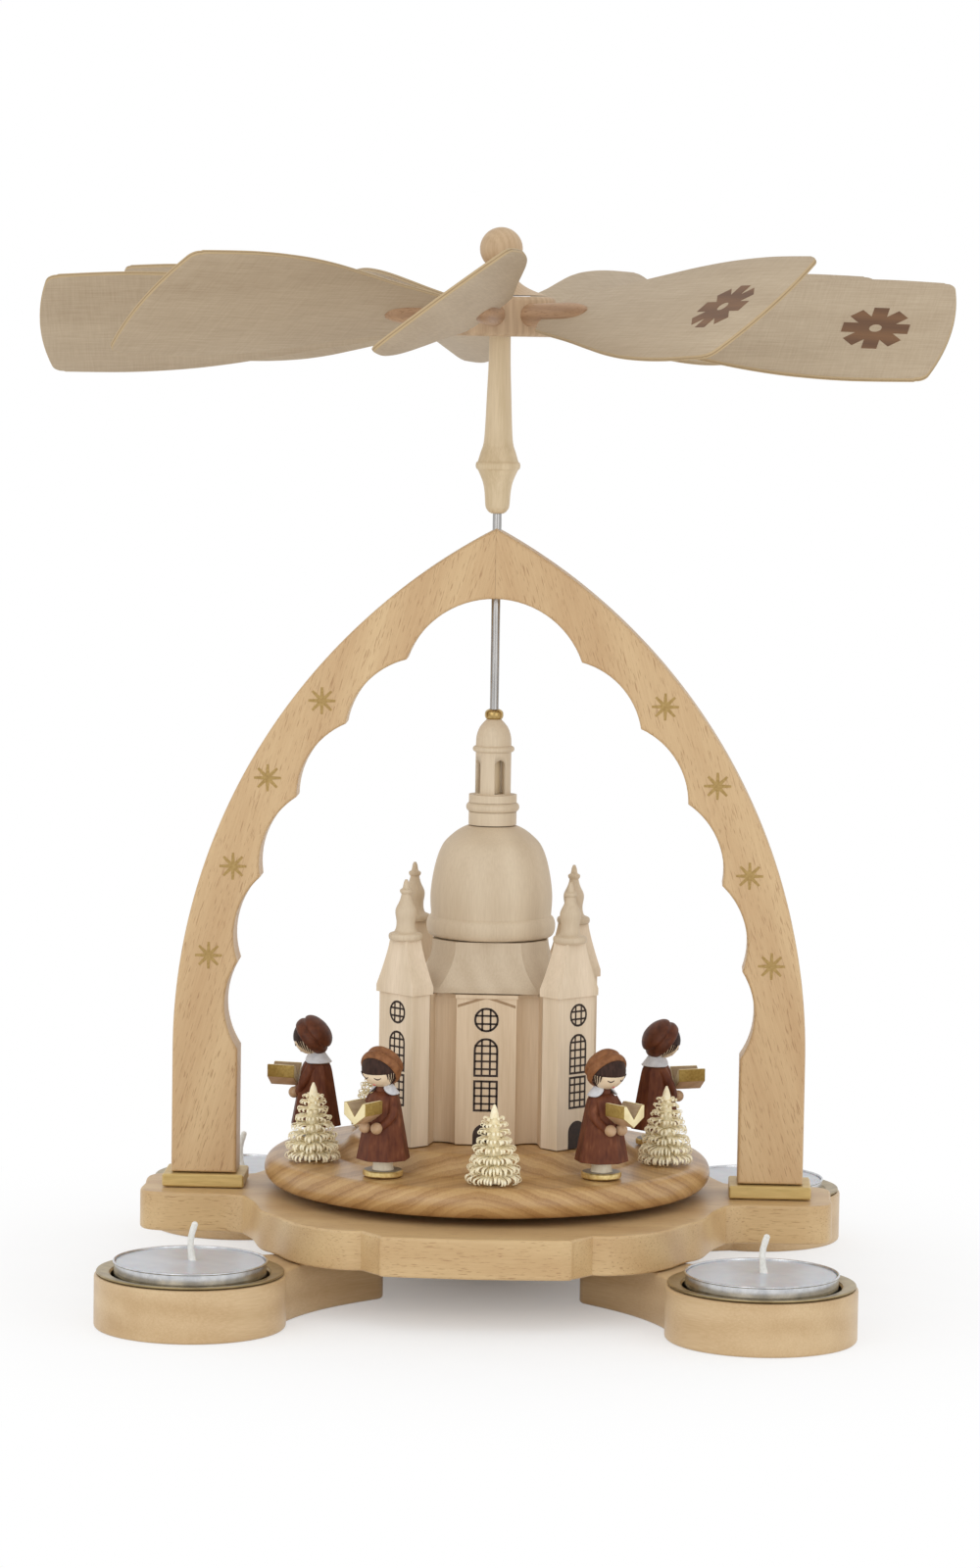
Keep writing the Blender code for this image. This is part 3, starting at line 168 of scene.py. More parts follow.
FINIAL_SHARES = (
    (0.0, 0.9), (0.02, 0.97), (0.06, 1.0), (0.1, 0.97), (0.12, 0.86), (0.14, 0.68), (0.19, 0.585),
    (0.26, 0.545), (0.33, 0.555), (0.4, 0.6), (0.46, 0.62), (0.51, 0.6), (0.56, 0.53), (0.62, 0.42),
    (0.68, 0.34), (0.755, 0.275), (0.775, 0.33), (0.8, 0.365), (0.83, 0.36), (0.85, 0.26), (0.87, 0.2),
    (0.95, 0.15), (1.0, 0.07),
)
ROOF_BASE = 0.0203
ROOF_BASE_FACE = 0.0134
ROOF_TOP = 0.0147
ROOF_TOP_FACE = 0.0084
ROOF_SWEEP_POWER = 2.2
DOME_RING_RADIUS = 0.0167
DOME_RING_HEIGHT = 0.0054
DOME_RING_BULGE = 0.0014
DOME_RING_KEPT = 20
DOME_RADIUS = 0.0158
DOME_SHARES = (
    (0.0, 0.985), (0.22, 1.0), (0.45, 0.96), (0.65, 0.89), (0.8, 0.79), (0.91, 0.63), (0.97, 0.5), (1.0, 0.4),
)
LANTERN_DRUM_RADIUS = 0.0062
LANTERN_RING_RADIUS = 0.0069
LANTERN_RADIUS = 0.0046
LANTERN_CORNICE_RADIUS = 0.0054
LANTERN_BORE = 0.0033
LANTERN_CORE_RADIUS = 0.0021
LANTERN_DRUM_HEIGHT = 0.0033
LANTERN_RING_HEIGHT = 0.0025
LANTERN_STEP_HEIGHT = 0.002
LANTERN_WALL_HEIGHT = 0.011
LANTERN_CORNICE_HEIGHT = 0.0016
LANTERN_CAP_HEIGHT = 0.007
LANTERN_CAP_SHARES = ((0.0, 1.0), (0.35, 0.97), (0.65, 0.82), (0.85, 0.6), (1.0, 0.38))
LANTERN_OPENING_WIDTH = 0.003
LANTERN_OPENING_HEIGHT = 0.0088
LANTERN_TURN = math.radians(26)
LANTERN_RING_ARC = 1.4
BEAD_RADIUS = 0.0024
BEAD_HEIGHT = 0.0026
BEAD_SHARES = (
    (0.0, 0.8), (0.12, 0.92), (0.3, 0.99), (0.5, 1.0), (0.7, 0.97), (0.85, 0.87), (0.94, 0.74), (1.0, 0.6),
)
SLEEVE_RADIUS = 0.00575
SLEEVE_SHARES = (
    (0.0, 0.26), (0.008, 0.38), (0.022, 0.47), (0.045, 0.54), (0.12, 0.585), (0.177, 0.67), (0.23, 0.84),
    (0.247, 0.91), (0.252, 0.96), (0.26, 0.99), (0.271, 1.0), (0.282, 0.99), (0.29, 0.96), (0.295, 0.91),
    (0.345, 0.79), (0.4, 0.66), (0.5, 0.6), (0.66, 0.55), (0.84, 0.495), (1.0, 0.48),
)
HUB_ROUNDING = 0.0012
FINIAL_FOOT_RADIUS = 0.0122
FINIAL_FOOT_HEIGHT = 0.0065
FINIAL_NECK_RADIUS = 0.0036
FINIAL_FOOT_POWER = 2.6
BALL_RADIUS = 0.0055
BALL_CENTRE = 0.0119
STEM_RADIUS = 0.0029
STEM_START = 0.0097
STEM_END = 0.0395
STEM_TAPER = 0.0085
STEM_TIP_RADIUS = 0.0009
STEM_CURVE = 0.999
BLADE_THICKNESS = 0.0012
BLADE_ROUNDING = 0.00025
BLADE_ROOT = 0.0228
BLADE_TIP = 0.1178
BLADE_TIP_BULGE = 0.0022
BLADE_WIDTH = 0.0415
BLADE_ROOT_ROUNDING = 0.004
BLADE_TIP_ROUNDING = 0.003
BLADE_TIP_CORNER_END = math.radians(12)
BLADE_SHARES = (
    (0.0, 0.32), (0.1, 0.43), (0.23, 0.565), (0.36, 0.72), (0.49, 0.865), (0.62, 0.96), (0.78, 1.0),
    (1.0, 0.955),
)

# Prints: windows and doors on the church, stars on the arch, rosettes on the blades, and painted shade for
# the pediments
LINE = 0.00048
FRAME_LINE = 0.00056
PEDIMENT_LINE = 0.0007
BAY_PRINTS = {
    "across": 0, "width": 0.0063, "round": 0.0323, "arched": (0.0176, 0.01), "square": (0.0086, 0.0081),
    "door": 0.0055,
}
TOWER_PRINTS = {
    "across": 0.0006, "width": 0.0059, "round": 0.0343, "arched": (0.0192, 0.0103),
    "square": (0.0103, 0.0083), "door": 0.0071,
}
PEDIMENT_HALF_WIDTH = 0.0074
PEDIMENT_FOOT_RAISE = 0.0354
PEDIMENT_TOP_RAISE = 0.0385
STAR_RADIUS = 0.0035
STAR_LINE = 0.00092
STAR_TIP_SHARE = 0.65
STAR_RAYS = 8
STAR_PLACES = ((0.0442, 0.151), (0.058, 0.1308), (0.0667, 0.1077), (0.0728, 0.0844))
ROSETTE_RADIUS = 0.0085
ROSETTE_PETAL = 0.0039
ROSETTE_HOLE = 0.0016
ROSETTE_PLACE = 0.0985

# Singers, books and trees, in a frame that faces local +X from the platform's top
FIGURE_CIRCLE = 0.047
TREE_CIRCLE = 0.0478
DISC_RADIUS = 0.0051
DISC_HEIGHT = 0.0016
LEG_RADIUS = 0.0028
LEG_HEIGHT = 0.0027
COAT_HEIGHT = 0.0176
COAT_HEM_RADIUS = 0.0069
COAT_TOP_RADIUS = 0.0036
COAT_SIDES = 8
COAT_CORNER_POWER = 0.85
COAT_ARM_RADIUS = 0.0014
COAT_ARM_TAPER = 0.00025
COAT_SHARES = (
    (0.0, 1.0), (0.2, 0.8), (0.45, 0.56), (0.7, 0.32), (0.84, 0.17), (0.91, 0.04), (0.96, -0.2), (0.99, -0.5),
    (1.0, -0.8),
)
HEM = DISC_HEIGHT + LEG_HEIGHT
SHOULDER = HEM + COAT_HEIGHT
NECK_BOTTOM = SHOULDER - 0.0006
NECK_TOP = SHOULDER + 0.0026
NECK_RADIUS = 0.0021
NECK_TOP_RADIUS = 0.0019
HEAD_RADIUS = 0.0047
HEAD_CENTRE = Vector((0.0016, 0, SHOULDER + 0.0056))
EYE_STEPS = 11
EYE_AZIMUTH = 25
EYE_HALF_WIDTH = 12
EYE_ELEVATION = -24
EYE_DROOP = 6
EYE_TAPER = 5.6
EYE_LINE = 0.00015
MOUTH_RADIUS = 0.0004
MOUTH_ELEVATION = -56
HAIR_LIFT = 0.0001
FRINGE_DROP = 0.0006
HAIR_BACK = 0.0017
STRANDS = 6
STRAND_AZIMUTH = 56
STRAND_PITCH = 9.5
STRAND_SWAY = 2.5
STRAND_ELEVATION = -10
STRAND_FALL = 7
STRAND_FALL_GROWTH = 2.2
STRAND_RADII = (0.00024, 0.0002, 0.00014, 0.00004)
NAPE_DROP = 0.0034
CAP_RADIUS = 0.0051
CAP_SIDE_SHARES = (
    (-0.2, 0.95), (-0.16, 1.01), (-0.06, 1.055), (0.07, 1.065), (0.18, 1.035), (0.26, 0.965), (0.31, 0.925),
    (0.36, 0.935), (0.46, 0.965), (0.58, 0.92), (0.72, 0.8), (0.85, 0.6), (0.94, 0.37), (0.985, 0.17),
    (0.995, 0.0),
)
CAP_LINING_STEPS = 24
CAP_LINING_SHARE = 0.9
CAP_TILT = math.radians(50)
CAP_FOLDS = 3
CAP_FOLD_PHASE = 0.6
CAP_FOLD_DEPTH = 0.03
COLLAR_STEPS = 28
COLLAR_START = math.radians(34)
COLLAR_INNER = 0.0021
COLLAR_OUTER = 0.0038
COLLAR_HEIGHT = 0.0021
COLLAR_LIFT = 0.0011
COLLAR_SWELL = 3.2
COLLAR_SWELL_START = 0.06
COLLAR_SWELL_POWER = 0.6
COLLAR_INNER_LIFTS = (0.0009, 0.0013)
COLLAR_THICKNESS = 0.0004
HAND_RADIUS = 0.0015
HAND_PLACE = Vector((0.0056, 0.0018, HEM + 0.0085))
COAT_ARM = (
    Vector((0.0004, COAT_TOP_RADIUS * 0.8, SHOULDER - 0.0018)),
    Vector((0.0022, COAT_TOP_RADIUS * 1.2, SHOULDER - 0.0058)),
    Vector((HAND_PLACE.x - HAND_RADIUS, HAND_PLACE.y * 1.2, HAND_PLACE.z + SEAM)),
)
BOOK_START = 0.0052
BOOK_LENGTH = 0.0074
BOOK_HALF_WIDTH = 0.0033
BOOK_HEIGHT = 0.0057
BOOK_BEVEL_HEIGHT = 0.0025
BOOK_GROOVE_FLOOR = 0.0022
BOOK_EDGE = 0.0009
BOOK_ROUNDING = 0.0001
TREE_HEIGHT = 0.0199
TREE_CORE = 0.002
TREE_CORE_SHARES = (
    (0.0, 1.0), (0.4, 0.9), (0.7, 0.72), (0.84, 0.58), (0.92, 0.42), (0.97, 0.24), (1.0, 0.12),
)
TREE_TIERS = (
    (0.0026, 0.0074, 46), (0.0047, 0.0072, 44), (0.0068, 0.0066, 38), (0.0089, 0.0058, 32),
    (0.0109, 0.005, 27), (0.0128, 0.0043, 22), (0.0145, 0.0036, 16), (0.016, 0.0029, 11),
)
TREE_LOW_LEAN = -0.1
TREE_LEAN_RISE = 0.36
CURL_WIDTH = 0.0008
CURL_THICKNESS = 0.00014
CURL_ROLL_SHARE = 0.115
CURL_TURN = math.radians(200)
CURL_STEPS = 7
CURL_START_SHARE = 0.5
CURL_BOW = 0.35
CURL_TIGHTENING = 0.35
CURL_NARROWING = 0.75
TREE_TURN = 1.3
TREE_SEED = 5

# Sizes of streaks and flecks along and across the fibre, and how much longer than wide the rings run
BROAD_STREAK = (0.07, 0.008)
FINE_STREAK = (0.009, 0.00035)
RING_STRETCH = 14
FLECK_SIZE = (0.0028, 0.00024)
FLECK_STOPS = ((0.6, 0.0), (0.69, 0.65))
# Flat-sawn ash: the rings' pitch, how they run backwards and down in pitches, and how they waver
ASH_PITCH = 0.0105
ASH_BACKWARDS = 0.62
ASH_DOWN = 2.2
ASH_SWAY = 2.6
ASH_RIPPLE = 0.5
ASH_FINE_RINGS = 3.3
RANDOM_SPREAD = 40.0
# A tilt that lays the growth rings of a board along X nearly level
LEVEL_RINGS = (math.radians(47), 0.03, 0.0)
ARCH_LEAN = math.radians(16)
# Woods: name, pale and dark colour, the fibre's axis, the width of the growth rings and their share in the
# tone, roughness, and what is the wood's own
WOODS = {
    "plate": ("plate_beech", (213, 184, 137), (194, 160, 114), X, 0.007, 0.2, 0.4, {"fleck": (158, 118, 75)}),
    "arm": ("arm_beech", (214, 187, 146), (191, 159, 116), X, 0.0048, 0.13, 0.35, {"tilt": LEVEL_RINGS}),
    "arch_left": ("arch_beech_left", (214, 184, 140), (196, 161, 118), Z, 0.008, 0.15, 0.45,
                  {"fleck": (158, 118, 78), "tilt": (0, ARCH_LEAN, 0)}),
    "arch_right": ("arch_beech_right", (214, 184, 140), (196, 161, 118), Z, 0.008, 0.15, 0.45,
                   {"fleck": (158, 118, 78), "tilt": (0, -ARCH_LEAN, 0)}),
    "church": ("church_lime", (235, 216, 191), (210, 190, 161), Z, 0.004, 0.15, 0.6, {}),
    # A darker copy of the church lime: painted shade on the roof under the dome and the blades
    "roof": ("roof_lime_painted_shade", (210, 193, 168), (190, 170, 143), Z, 0.004, 0.15, 0.6, {}),
    # A darker copy of the church lime: painted shade on the walls and bays, set back between the towers under
    # the roof
    "bay": ("bay_lime_painted_shade", (221, 199, 169), (197, 171, 139), Z, 0.004, 0.15, 0.6, {}),
    # A darker copy of the church lime: painted shade on the dome, the lantern and the tower finials under the
    # rotor's blades
    "dome": ("dome_lime_painted_shade", (214, 196, 169), (196, 176, 148), Z, 0.006, 0.12, 0.55, {}),
    "rotor": ("rotor_maple", (227, 207, 174), (202, 180, 143), Z, 0.003, 0.15, 0.5, {"sway": 1.5}),
    "ball": ("ball_beech", (208, 181, 146), (184, 154, 118), Z, 0.0011, 0.12, 0.5, {"sway": 1.0}),
    "hub": ("hub_beech", (200, 172, 138), (164, 134, 102), Z, 0.0014, 0.14, 0.55, {"sway": 1.0}),
    "stem": ("stem_beech", (188, 152, 118), (156, 120, 88), X, 0.002, 0.3, 0.55,
             {"fleck": (128, 94, 62), "sway": 1.0}),
    "skin": ("hand_beech", (204, 172, 138), (182, 148, 112), Z, 0.002, 0.3, 0.5, {}),
    "rosette": ("rosette_walnut", (124, 85, 48), (95, 61, 32), X, 0.003, 0.3, 0.55, {}),
}

# Paints, stains and metals: name, base and shade colour, size of the mottling, roughness, and what is the
# material's own
PAINTS = {
    "cap": ("cap_stain", (148, 99, 62), (116, 72, 42), 0.0014, 0.55, {"bump": 0.3, "gloss": 0.25}),
    # A darker copy of the cap stain: painted shade for the caps of the singers at the sides and the back
    "painted_shade_cap": ("cap_stain_painted_shade", (106, 58, 34), (78, 40, 24), 0.0014, 0.5, {"bump": 0.3, "gloss": 0.3}),
    "hair": ("hair_paint", (66, 44, 36), (44, 28, 22), (0.0005, 0.0005, 0.003), 0.55, {"gloss": 0.2}),
    "face": ("face_paint", (240, 220, 190), (228, 204, 172), 0.002, 0.5, {}),
    "ink": ("feature_paint", (66, 42, 34), (48, 30, 26), 0.0005, 0.5, {}),
    "rose": ("mouth_paint", (206, 120, 108), (190, 104, 94), 0.0005, 0.5, {}),
    "collar": ("collar_paint", (222, 224, 228), (202, 203, 208), 0.001, 0.5, {}),
    "leg": ("leg_paint", (244, 232, 206), (230, 216, 188), (0.001, 0.001, 0.004), 0.5, {}),
    "disc": ("disc_paint", (166, 152, 130), (146, 132, 110), 0.001, 0.4, {}),
    "gilt": ("gilt_paint", (232, 208, 146), (208, 180, 112), 0.0008, 0.28, {"metallic": 0.7, "gloss": 0.6}),
    "book": ("book_gilt", (178, 150, 82), (152, 124, 62), 0.0006, 0.45, {"metallic": 0.4}),
    "leaf_edge": ("book_edges", (244, 230, 184), (230, 212, 162), (0.0004, 0.003, 0.003), 0.5, {}),
    "page": ("book_pages", (176, 154, 124), (156, 132, 102), (0.003, 0.0004, 0.003), 0.6, {}),
    "foot": ("foot_gilt", (215, 188, 126), (197, 170, 108), (0.006, 0.0006, 0.0006), 0.42,
             {"metallic": 0.3, "bump": 0.15}),
    "star": ("star_gilt", (180, 150, 94), (160, 130, 76), 0.0006, 0.4, {"metallic": 0.3}),
    "window": ("window_ink", (58, 42, 34), (42, 31, 26), 0.0008, 0.5, {}),
    # Painted shade: darker lines for the shadows of the shallow gable relief over each bay
    "shade": ("pediment_painted_shade", (164, 136, 104), (148, 120, 88), 0.001, 0.6, {}),
    "shaving": ("shaving_wood", (253, 246, 218), (244, 229, 190), 0.0009, 0.6, {"bump": 0.3}),
    "brass": ("insert_brass", (176, 158, 118), (146, 128, 92), 0.003, 0.32, {"metallic": 1.0, "bump": 0.1}),
    "bead": ("bead_brass", (196, 168, 112), (160, 130, 78), 0.001, 0.28, {"metallic": 1.0, "bump": 0.1}),
    "steel": ("spindle_steel", (184, 182, 180), (156, 154, 152), (0.0004, 0.0004, 0.01), 0.25,
              {"metallic": 1.0}),
    "aluminium": ("cup_aluminium", (216, 217, 219), (192, 194, 198), 0.002, 0.24,
                  {"metallic": 1.0, "bump": 0.5}),
    "wick": ("wick_cotton", (242, 241, 235), (222, 220, 212), (0.0005, 0.0005, 0.0009), 0.4, {}),
}

# Floor, lamps and camera, with the lens in millimetres. The floor's fade to white starts short of the
# middle, so that it is pale there too
FLOOR_SHADE_START = -0.05
FLOOR_SHADE_END = 0.21
FLOOR_REACH = 6.0
WORLD_LIGHT = 0.9
LAMPS = {"key": ((-0.6, -1.25, 0.6), 2.4), "fill": ((0.75, -1.15, 0.35), 1.6)}
LAMP_AIM = Vector((0.0, 0.0, 0.12))
LAMP_SIZE = 0.9
LENS = 112.12
SENSOR_HEIGHT = 36.0
CAMERA_PLACE = (-0.00079, -1.25868, 0.2452)
CAMERA_TURN = math.radians(2.0749)
CAMERA_PITCH = math.radians(90 - 5.2423)
CAMERA_ROLL = math.radians(0.8897)


def linear(value):
    """A colour channel from the picture, 0 to 255, as linear light."""
    share = value / 255
    return share / 12.92 if share <= 0.04045 else ((share + 0.055) / 1.055) ** 2.4


def colour(red, green, blue):
    return (linear(red), linear(green), linear(blue), 1.0)


def blank(name):
    """A new material, its node tree and its shader."""
    material = bpy.data.materials.new(name)
    material.use_nodes = True
    tree = material.node_tree
    return material, tree, tree.nodes["Principled BSDF"]


def feed(tree, node, inputs):
    """Sets a node's inputs, or links those that come from another node."""
    for key, value in dict(inputs).items():
        if isinstance(value, bpy.types.NodeSocket):
            tree.links.new(value, node.inputs[key])
        else:
            node.inputs[key].default_value = value


def add(tree, kind, inputs=(), **settings):
    """A shader node with its settings, and with its inputs set or linked."""
    node = tree.nodes.new("ShaderNode" + kind)
    for key, value in settings.items():
        setattr(node, key, value)
    feed(tree, node, inputs)
    return node


def maths(tree, operation, first, second=0.0, third=0.0):
    """A step of arithmetic on numbers or sockets."""
    return add(tree, "Math", {0: first, 1: second, 2: third}, operation=operation).outputs["Value"]


def own_place(tree):
    return add(tree, "TexCoord").outputs["Object"]


def sizes(fibre, along, across):
    """The size of a feature on each axis, long on the fibre's axis."""
    return tuple(along if axis == fibre else across for axis in (X, Y, Z))


def placed(tree, size, tilt):
    """Object coordinates in units of a feature's size."""
    inputs = {"Vector": own_place(tree), "Scale": size, "Rotation": tilt}
    return add(tree, "Mapping", inputs, vector_type="TEXTURE").outputs["Vector"]


def chance(tree):
    """A number that differs from object to object."""
    return maths(tree, "MULTIPLY", add(tree, "ObjectInfo").outputs["Random"], RANDOM_SPREAD)


def cloud(tree, size, tilt=NO_TILT, detail=3.0):
    """Noise with features of a size, about 0.5 on average."""
    inputs = {"Vector": placed(tree, size, tilt), "W": chance(tree), "Scale": 1.0, "Detail": detail}
    return add(tree, "TexNoise", inputs, noise_dimensions="4D").outputs["Fac"]


def bands(tree, size, tilt, distortion):
    """Growth rings: distorted bands, a unit apart."""
    inputs = {
        "Vector": placed(tree, size, tilt), "Scale": math.pi / 10, "Distortion": distortion, "Detail": 2.0,
        "Detail Scale": 0.35, "Phase Offset": chance(tree),
    }
    return add(tree, "TexWave", inputs, bands_direction="DIAGONAL", wave_profile="SIN").outputs["Fac"]


def ramp(tree, factor, stops):
    """A ramp through (position, value) stops, whose values are colours or grey levels."""
    node = add(tree, "ValToRGB", {"Fac": factor})
    elements = node.color_ramp.elements
    while len(elements) < len(stops):
        elements.new(0.5)
    for element, (position, value) in zip(elements, stops):
        element.position = position
        element.color = value if isinstance(value, tuple) else (value, value, value, 1.0)
    return node.outputs["Color"]


def weighted(tree, *parts):
    """The sum of sockets, each times its weight."""
    total = 0.0
    for socket, weight in parts:
        total = maths(tree, "MULTIPLY_ADD", socket, weight, total)
    return total


def mixed(tree, factor, first, second):
    return add(tree, "Mix", {0: factor, 6: first, 7: second}, data_type="RGBA").outputs[2]


def roughen(tree, shader, height, strength, distance):
    bump = add(tree, "Bump", {"Height": height, "Strength": strength, "Distance": distance})
    tree.links.new(bump.outputs["Normal"], shader.inputs["Normal"])


def wood(name, pale, dark, fibre, ring, share, roughness, tilt=NO_TILT, sway=5.0, fleck=None):
    """Wood with growth rings, broad and fine streaks, and short dark flecks where the kind has them."""
    material, tree, shader = blank(name)
    broad = cloud(tree, sizes(fibre, *BROAD_STREAK), tilt)
    fine = cloud(tree, sizes(fibre, *FINE_STREAK), tilt, 4.0)
    rings = bands(tree, sizes(fibre, ring * RING_STRETCH, ring), tilt, sway)
    tone = weighted(tree, (rings, share), (broad, 0.6), (fine, 0.5))
    surface = ramp(tree, tone, ((0.36 + share / 4, colour(*pale)), (0.72 + share * 0.75, colour(*dark))))
    if fleck is not None:
        spots = cloud(tree, sizes(fibre, *FLECK_SIZE), tilt, 1.0)
        surface = mixed(tree, ramp(tree, spots, FLECK_STOPS), surface, colour(*fleck))
    feed(tree, shader, {"Base Color": surface, "Roughness": roughness})
    roughen(tree, shader, fine, 0.3, 0.00005)
    return material


def ash():
    """Flat-sawn ash: nested arches of growth rings that point to the back, each darker at one edge."""
    material, tree, shader = blank("platform_ash")
    split = add(tree, "SeparateXYZ", {"Vector": own_place(tree)}).outputs
    sway = cloud(tree, (0.05, 0.06, 0.05), detail=1.0)
    ripple = cloud(tree, (0.006, 0.03, 0.006), detail=2.0)
    across = maths(tree, "MULTIPLY", split["X"], 1 / ASH_PITCH)
    bowed = maths(tree, "SQRT", maths(tree, "MULTIPLY_ADD", across, across, 0.25))
    along = maths(tree, "MULTIPLY_ADD", split["Y"], ASH_BACKWARDS / ASH_PITCH, bowed)
    down = maths(tree, "MULTIPLY_ADD", split["Z"], ASH_DOWN / ASH_PITCH, along)
    swayed = maths(tree, "MULTIPLY_ADD", sway, ASH_SWAY, down)
    field = maths(tree, "MULTIPLY_ADD", ripple, ASH_RIPPLE, swayed)
    ring = maths(tree, "PINGPONG", field, 0.5)
    fine_ring = maths(tree, "FRACT", maths(tree, "MULTIPLY", field, ASH_FINE_RINGS))
    fibre = cloud(tree, sizes(Y, 0.012, 0.0004), detail=4.0)
    tone = weighted(tree, (ring, 0.76), (fine_ring, 0.22), (fibre, 0.4))
    stops = (
        (0.2, colour(200, 164, 112)), (0.48, colour(184, 145, 94)), (0.7, colour(164, 124, 76)),
        (0.92, colour(138, 98, 56)),
    )
    surface = ramp(tree, tone, stops)
    feed(tree, shader, {"Base Color": surface, "Roughness": 0.34, "Coat Weight": 0.15, "Coat Roughness": 0.3})
    roughen(tree, shader, fibre, 0.2, 0.00004)
    return material


def plywood():
    """Veneer with its fibre along the blade, faint saw marks across it, and layers in its edge."""
    material, tree, shader = blank("blade_plywood")
    broad = cloud(tree, sizes(X, 0.06, 0.012))
    fine = cloud(tree, sizes(X, 0.007, 0.00025), detail=4.0)
    cross = cloud(tree, sizes(Y, 0.006, 0.0004))
    tone = weighted(tree, (broad, 0.45), (fine, 0.5), (cross, 0.3))
    face = ramp(tree, tone, ((0.42, colour(198, 180, 153)), (0.84, colour(168, 147, 120))))
    height = add(tree, "SeparateXYZ", {"Vector": own_place(tree)}).outputs["Z"]
    depth = maths(tree, "ABSOLUTE", height)
    rough_edge = maths(tree, "MULTIPLY_ADD", cross, 0.0002, depth)
    inside = maths(tree, "LESS_THAN", depth, BLADE_THICKNESS * 0.47)
    layer = maths(tree, "LESS_THAN", rough_edge, BLADE_THICKNESS / 5)
    edge = mixed(tree, layer, colour(186, 162, 124), colour(156, 130, 94))
    feed(tree, shader, {"Base Color": mixed(tree, inside, face, edge), "Roughness": 0.65})
    roughen(tree, shader, weighted(tree, (fine, 0.6), (cross, 0.4)), 0.45, 0.00007)
    return material


def mottled(name, base, shade, size, roughness, metallic=0.0, bump=0.2, gloss=0.35):
    """Paint, stain or metal with a slight variation of tone and a fine texture."""
    material, tree, shader = blank(name)
    tone = cloud(tree, size if isinstance(size, tuple) else (size, size, size))
    feed(tree, shader, {
        "Base Color": ramp(tree, tone, ((0.35, colour(*base)), (0.68, colour(*shade)))),
        "Roughness": roughness, "Metallic": metallic, "Coat Weight": 0.0, "Specular IOR Level": gloss,
    })
    roughen(tree, shader, tone, bump, 0.00005)
    return material


def candle_wax():
    """Cloudy white wax with light in its depth."""
    material, tree, shader = blank("candle_wax")
    tone = cloud(tree, (0.004, 0.004, 0.004))
    feed(tree, shader, {
        "Base Color": ramp(tree, tone, ((0.3, colour(199, 202, 208)), (0.7, colour(188, 191, 199)))),
        "Subsurface Weight": 0.25, "Subsurface Scale": 0.002, "Roughness": 0.3,
    })
    roughen(tree, shader, tone, 0.2, 0.0001)
    return material


def carved_stain():
    """Reddish-brown stain, worn pale on the ridges that the knife left down the coat."""
    material, tree, shader = blank("coat_stain")
    cuts = cloud(tree, (0.0007, 0.0007, 0.006))
    patches = cloud(tree, (0.003, 0.003, 0.004), detail=2.0)
    tone = weighted(tree, (cuts, 0.5), (patches, 0.55))
    stops = ((0.4, colour(85, 41, 24)), (0.58, colour(108, 59, 35)), (0.76, colour(136, 85, 58)))
    feed(tree, shader, {"Base Color": ramp(tree, tone, stops), "Roughness": 0.55, "Specular IOR Level": 0.25})
    roughen(tree, shader, tone, 0.6, 0.00016)
    return material


def make_looks():
    """Every material, by the word that the pieces ask for it with."""
    looks = {"platform": ash(), "blade": plywood(), "coat": carved_stain(), "wax": candle_wax()}
    for word, (*plain, own) in WOODS.items():
        looks[word] = wood(*plain, **own)
    for word, (*plain, own) in PAINTS.items():
        looks[word] = mottled(*plain, **own)
    return looks


def linked(name, data, place=None):
    """An object of the scene, at its place."""
    obj = bpy.data.objects.new(name, data)
    bpy.context.collection.objects.link(obj)
    if place is not None:
        obj.matrix_world = place
    return obj


def new_object(name, bm, materials, place=None):
    bmesh.ops.recalc_face_normals(bm, faces=bm.faces)
    mesh = bpy.data.meshes.new(name)
    bm.to_mesh(mesh)
    bm.free()
    for material in materials:
        mesh.materials.append(material)
    mesh.shade_smooth()
    mesh.set_sharp_from_angle(angle=SHARP_ANGLE)
    return linked(name, mesh, place)


def settle(obj, body, nodes=()):
    """The piece rides on its body and stands for its nodes."""
    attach(obj, body)
    if nodes:
        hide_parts(*nodes)
    return obj


def piece(name, bm, material, body, nodes=(), place=None):
    return settle(new_object(name, bm, [material], place), body, nodes)


def flatten_shading(obj):
    """Shades the flat faces flat where the edges beside them are bevelled."""
    obj.modifiers.new("normals", "WEIGHTED_NORMAL").keep_sharp = True


def board(name, bm, material, body, nodes=(), place=None):
    """A piece with bevelled edges."""
    flatten_shading(piece(name, bm, material, body, nodes, place))


def carve(obj, bm, place=None):
    """Cuts a shape out of an object for good."""
    cutter = new_object("cutter", bm, [], place)
    step = obj.modifiers.new("carve", "BOOLEAN")
    step.operation = "DIFFERENCE"
    step.solver = "EXACT"
    step.object = cutter
    shown = obj.evaluated_get(bpy.context.evaluated_depsgraph_get())
    cut_mesh = bpy.data.meshes.new_from_object(shown)
    obj.modifiers.clear()
    obj.data = cut_mesh
    bpy.data.objects.remove(cutter, do_unlink=True)


def repeated(kinds, words, bodies, places):
    """Each kind of piece at each place, with one mesh for all of a kind, which takes its name and may stand
    for a node by the place's word. A kind is its name, mesh, materials, slot, node and shift in the place."""
    meshes = {}
    made = []
    for word, body, place in zip(words, bodies, places):
        for prefix, bm, materials, slot, node, shift in kinds:
            spot = place @ Matrix.Translation(shift)
            if prefix in meshes:
                obj = linked(prefix + word, meshes[prefix], spot)
            else:
                obj = new_object(prefix + word, bm, materials, spot)
                meshes[prefix] = obj.data
            made.append(settle(obj, body, [node + word] if node else ()))
    return made


def moved(bm, matrix):
    bmesh.ops.transform(bm, matrix=matrix, verts=bm.verts)
    return bm


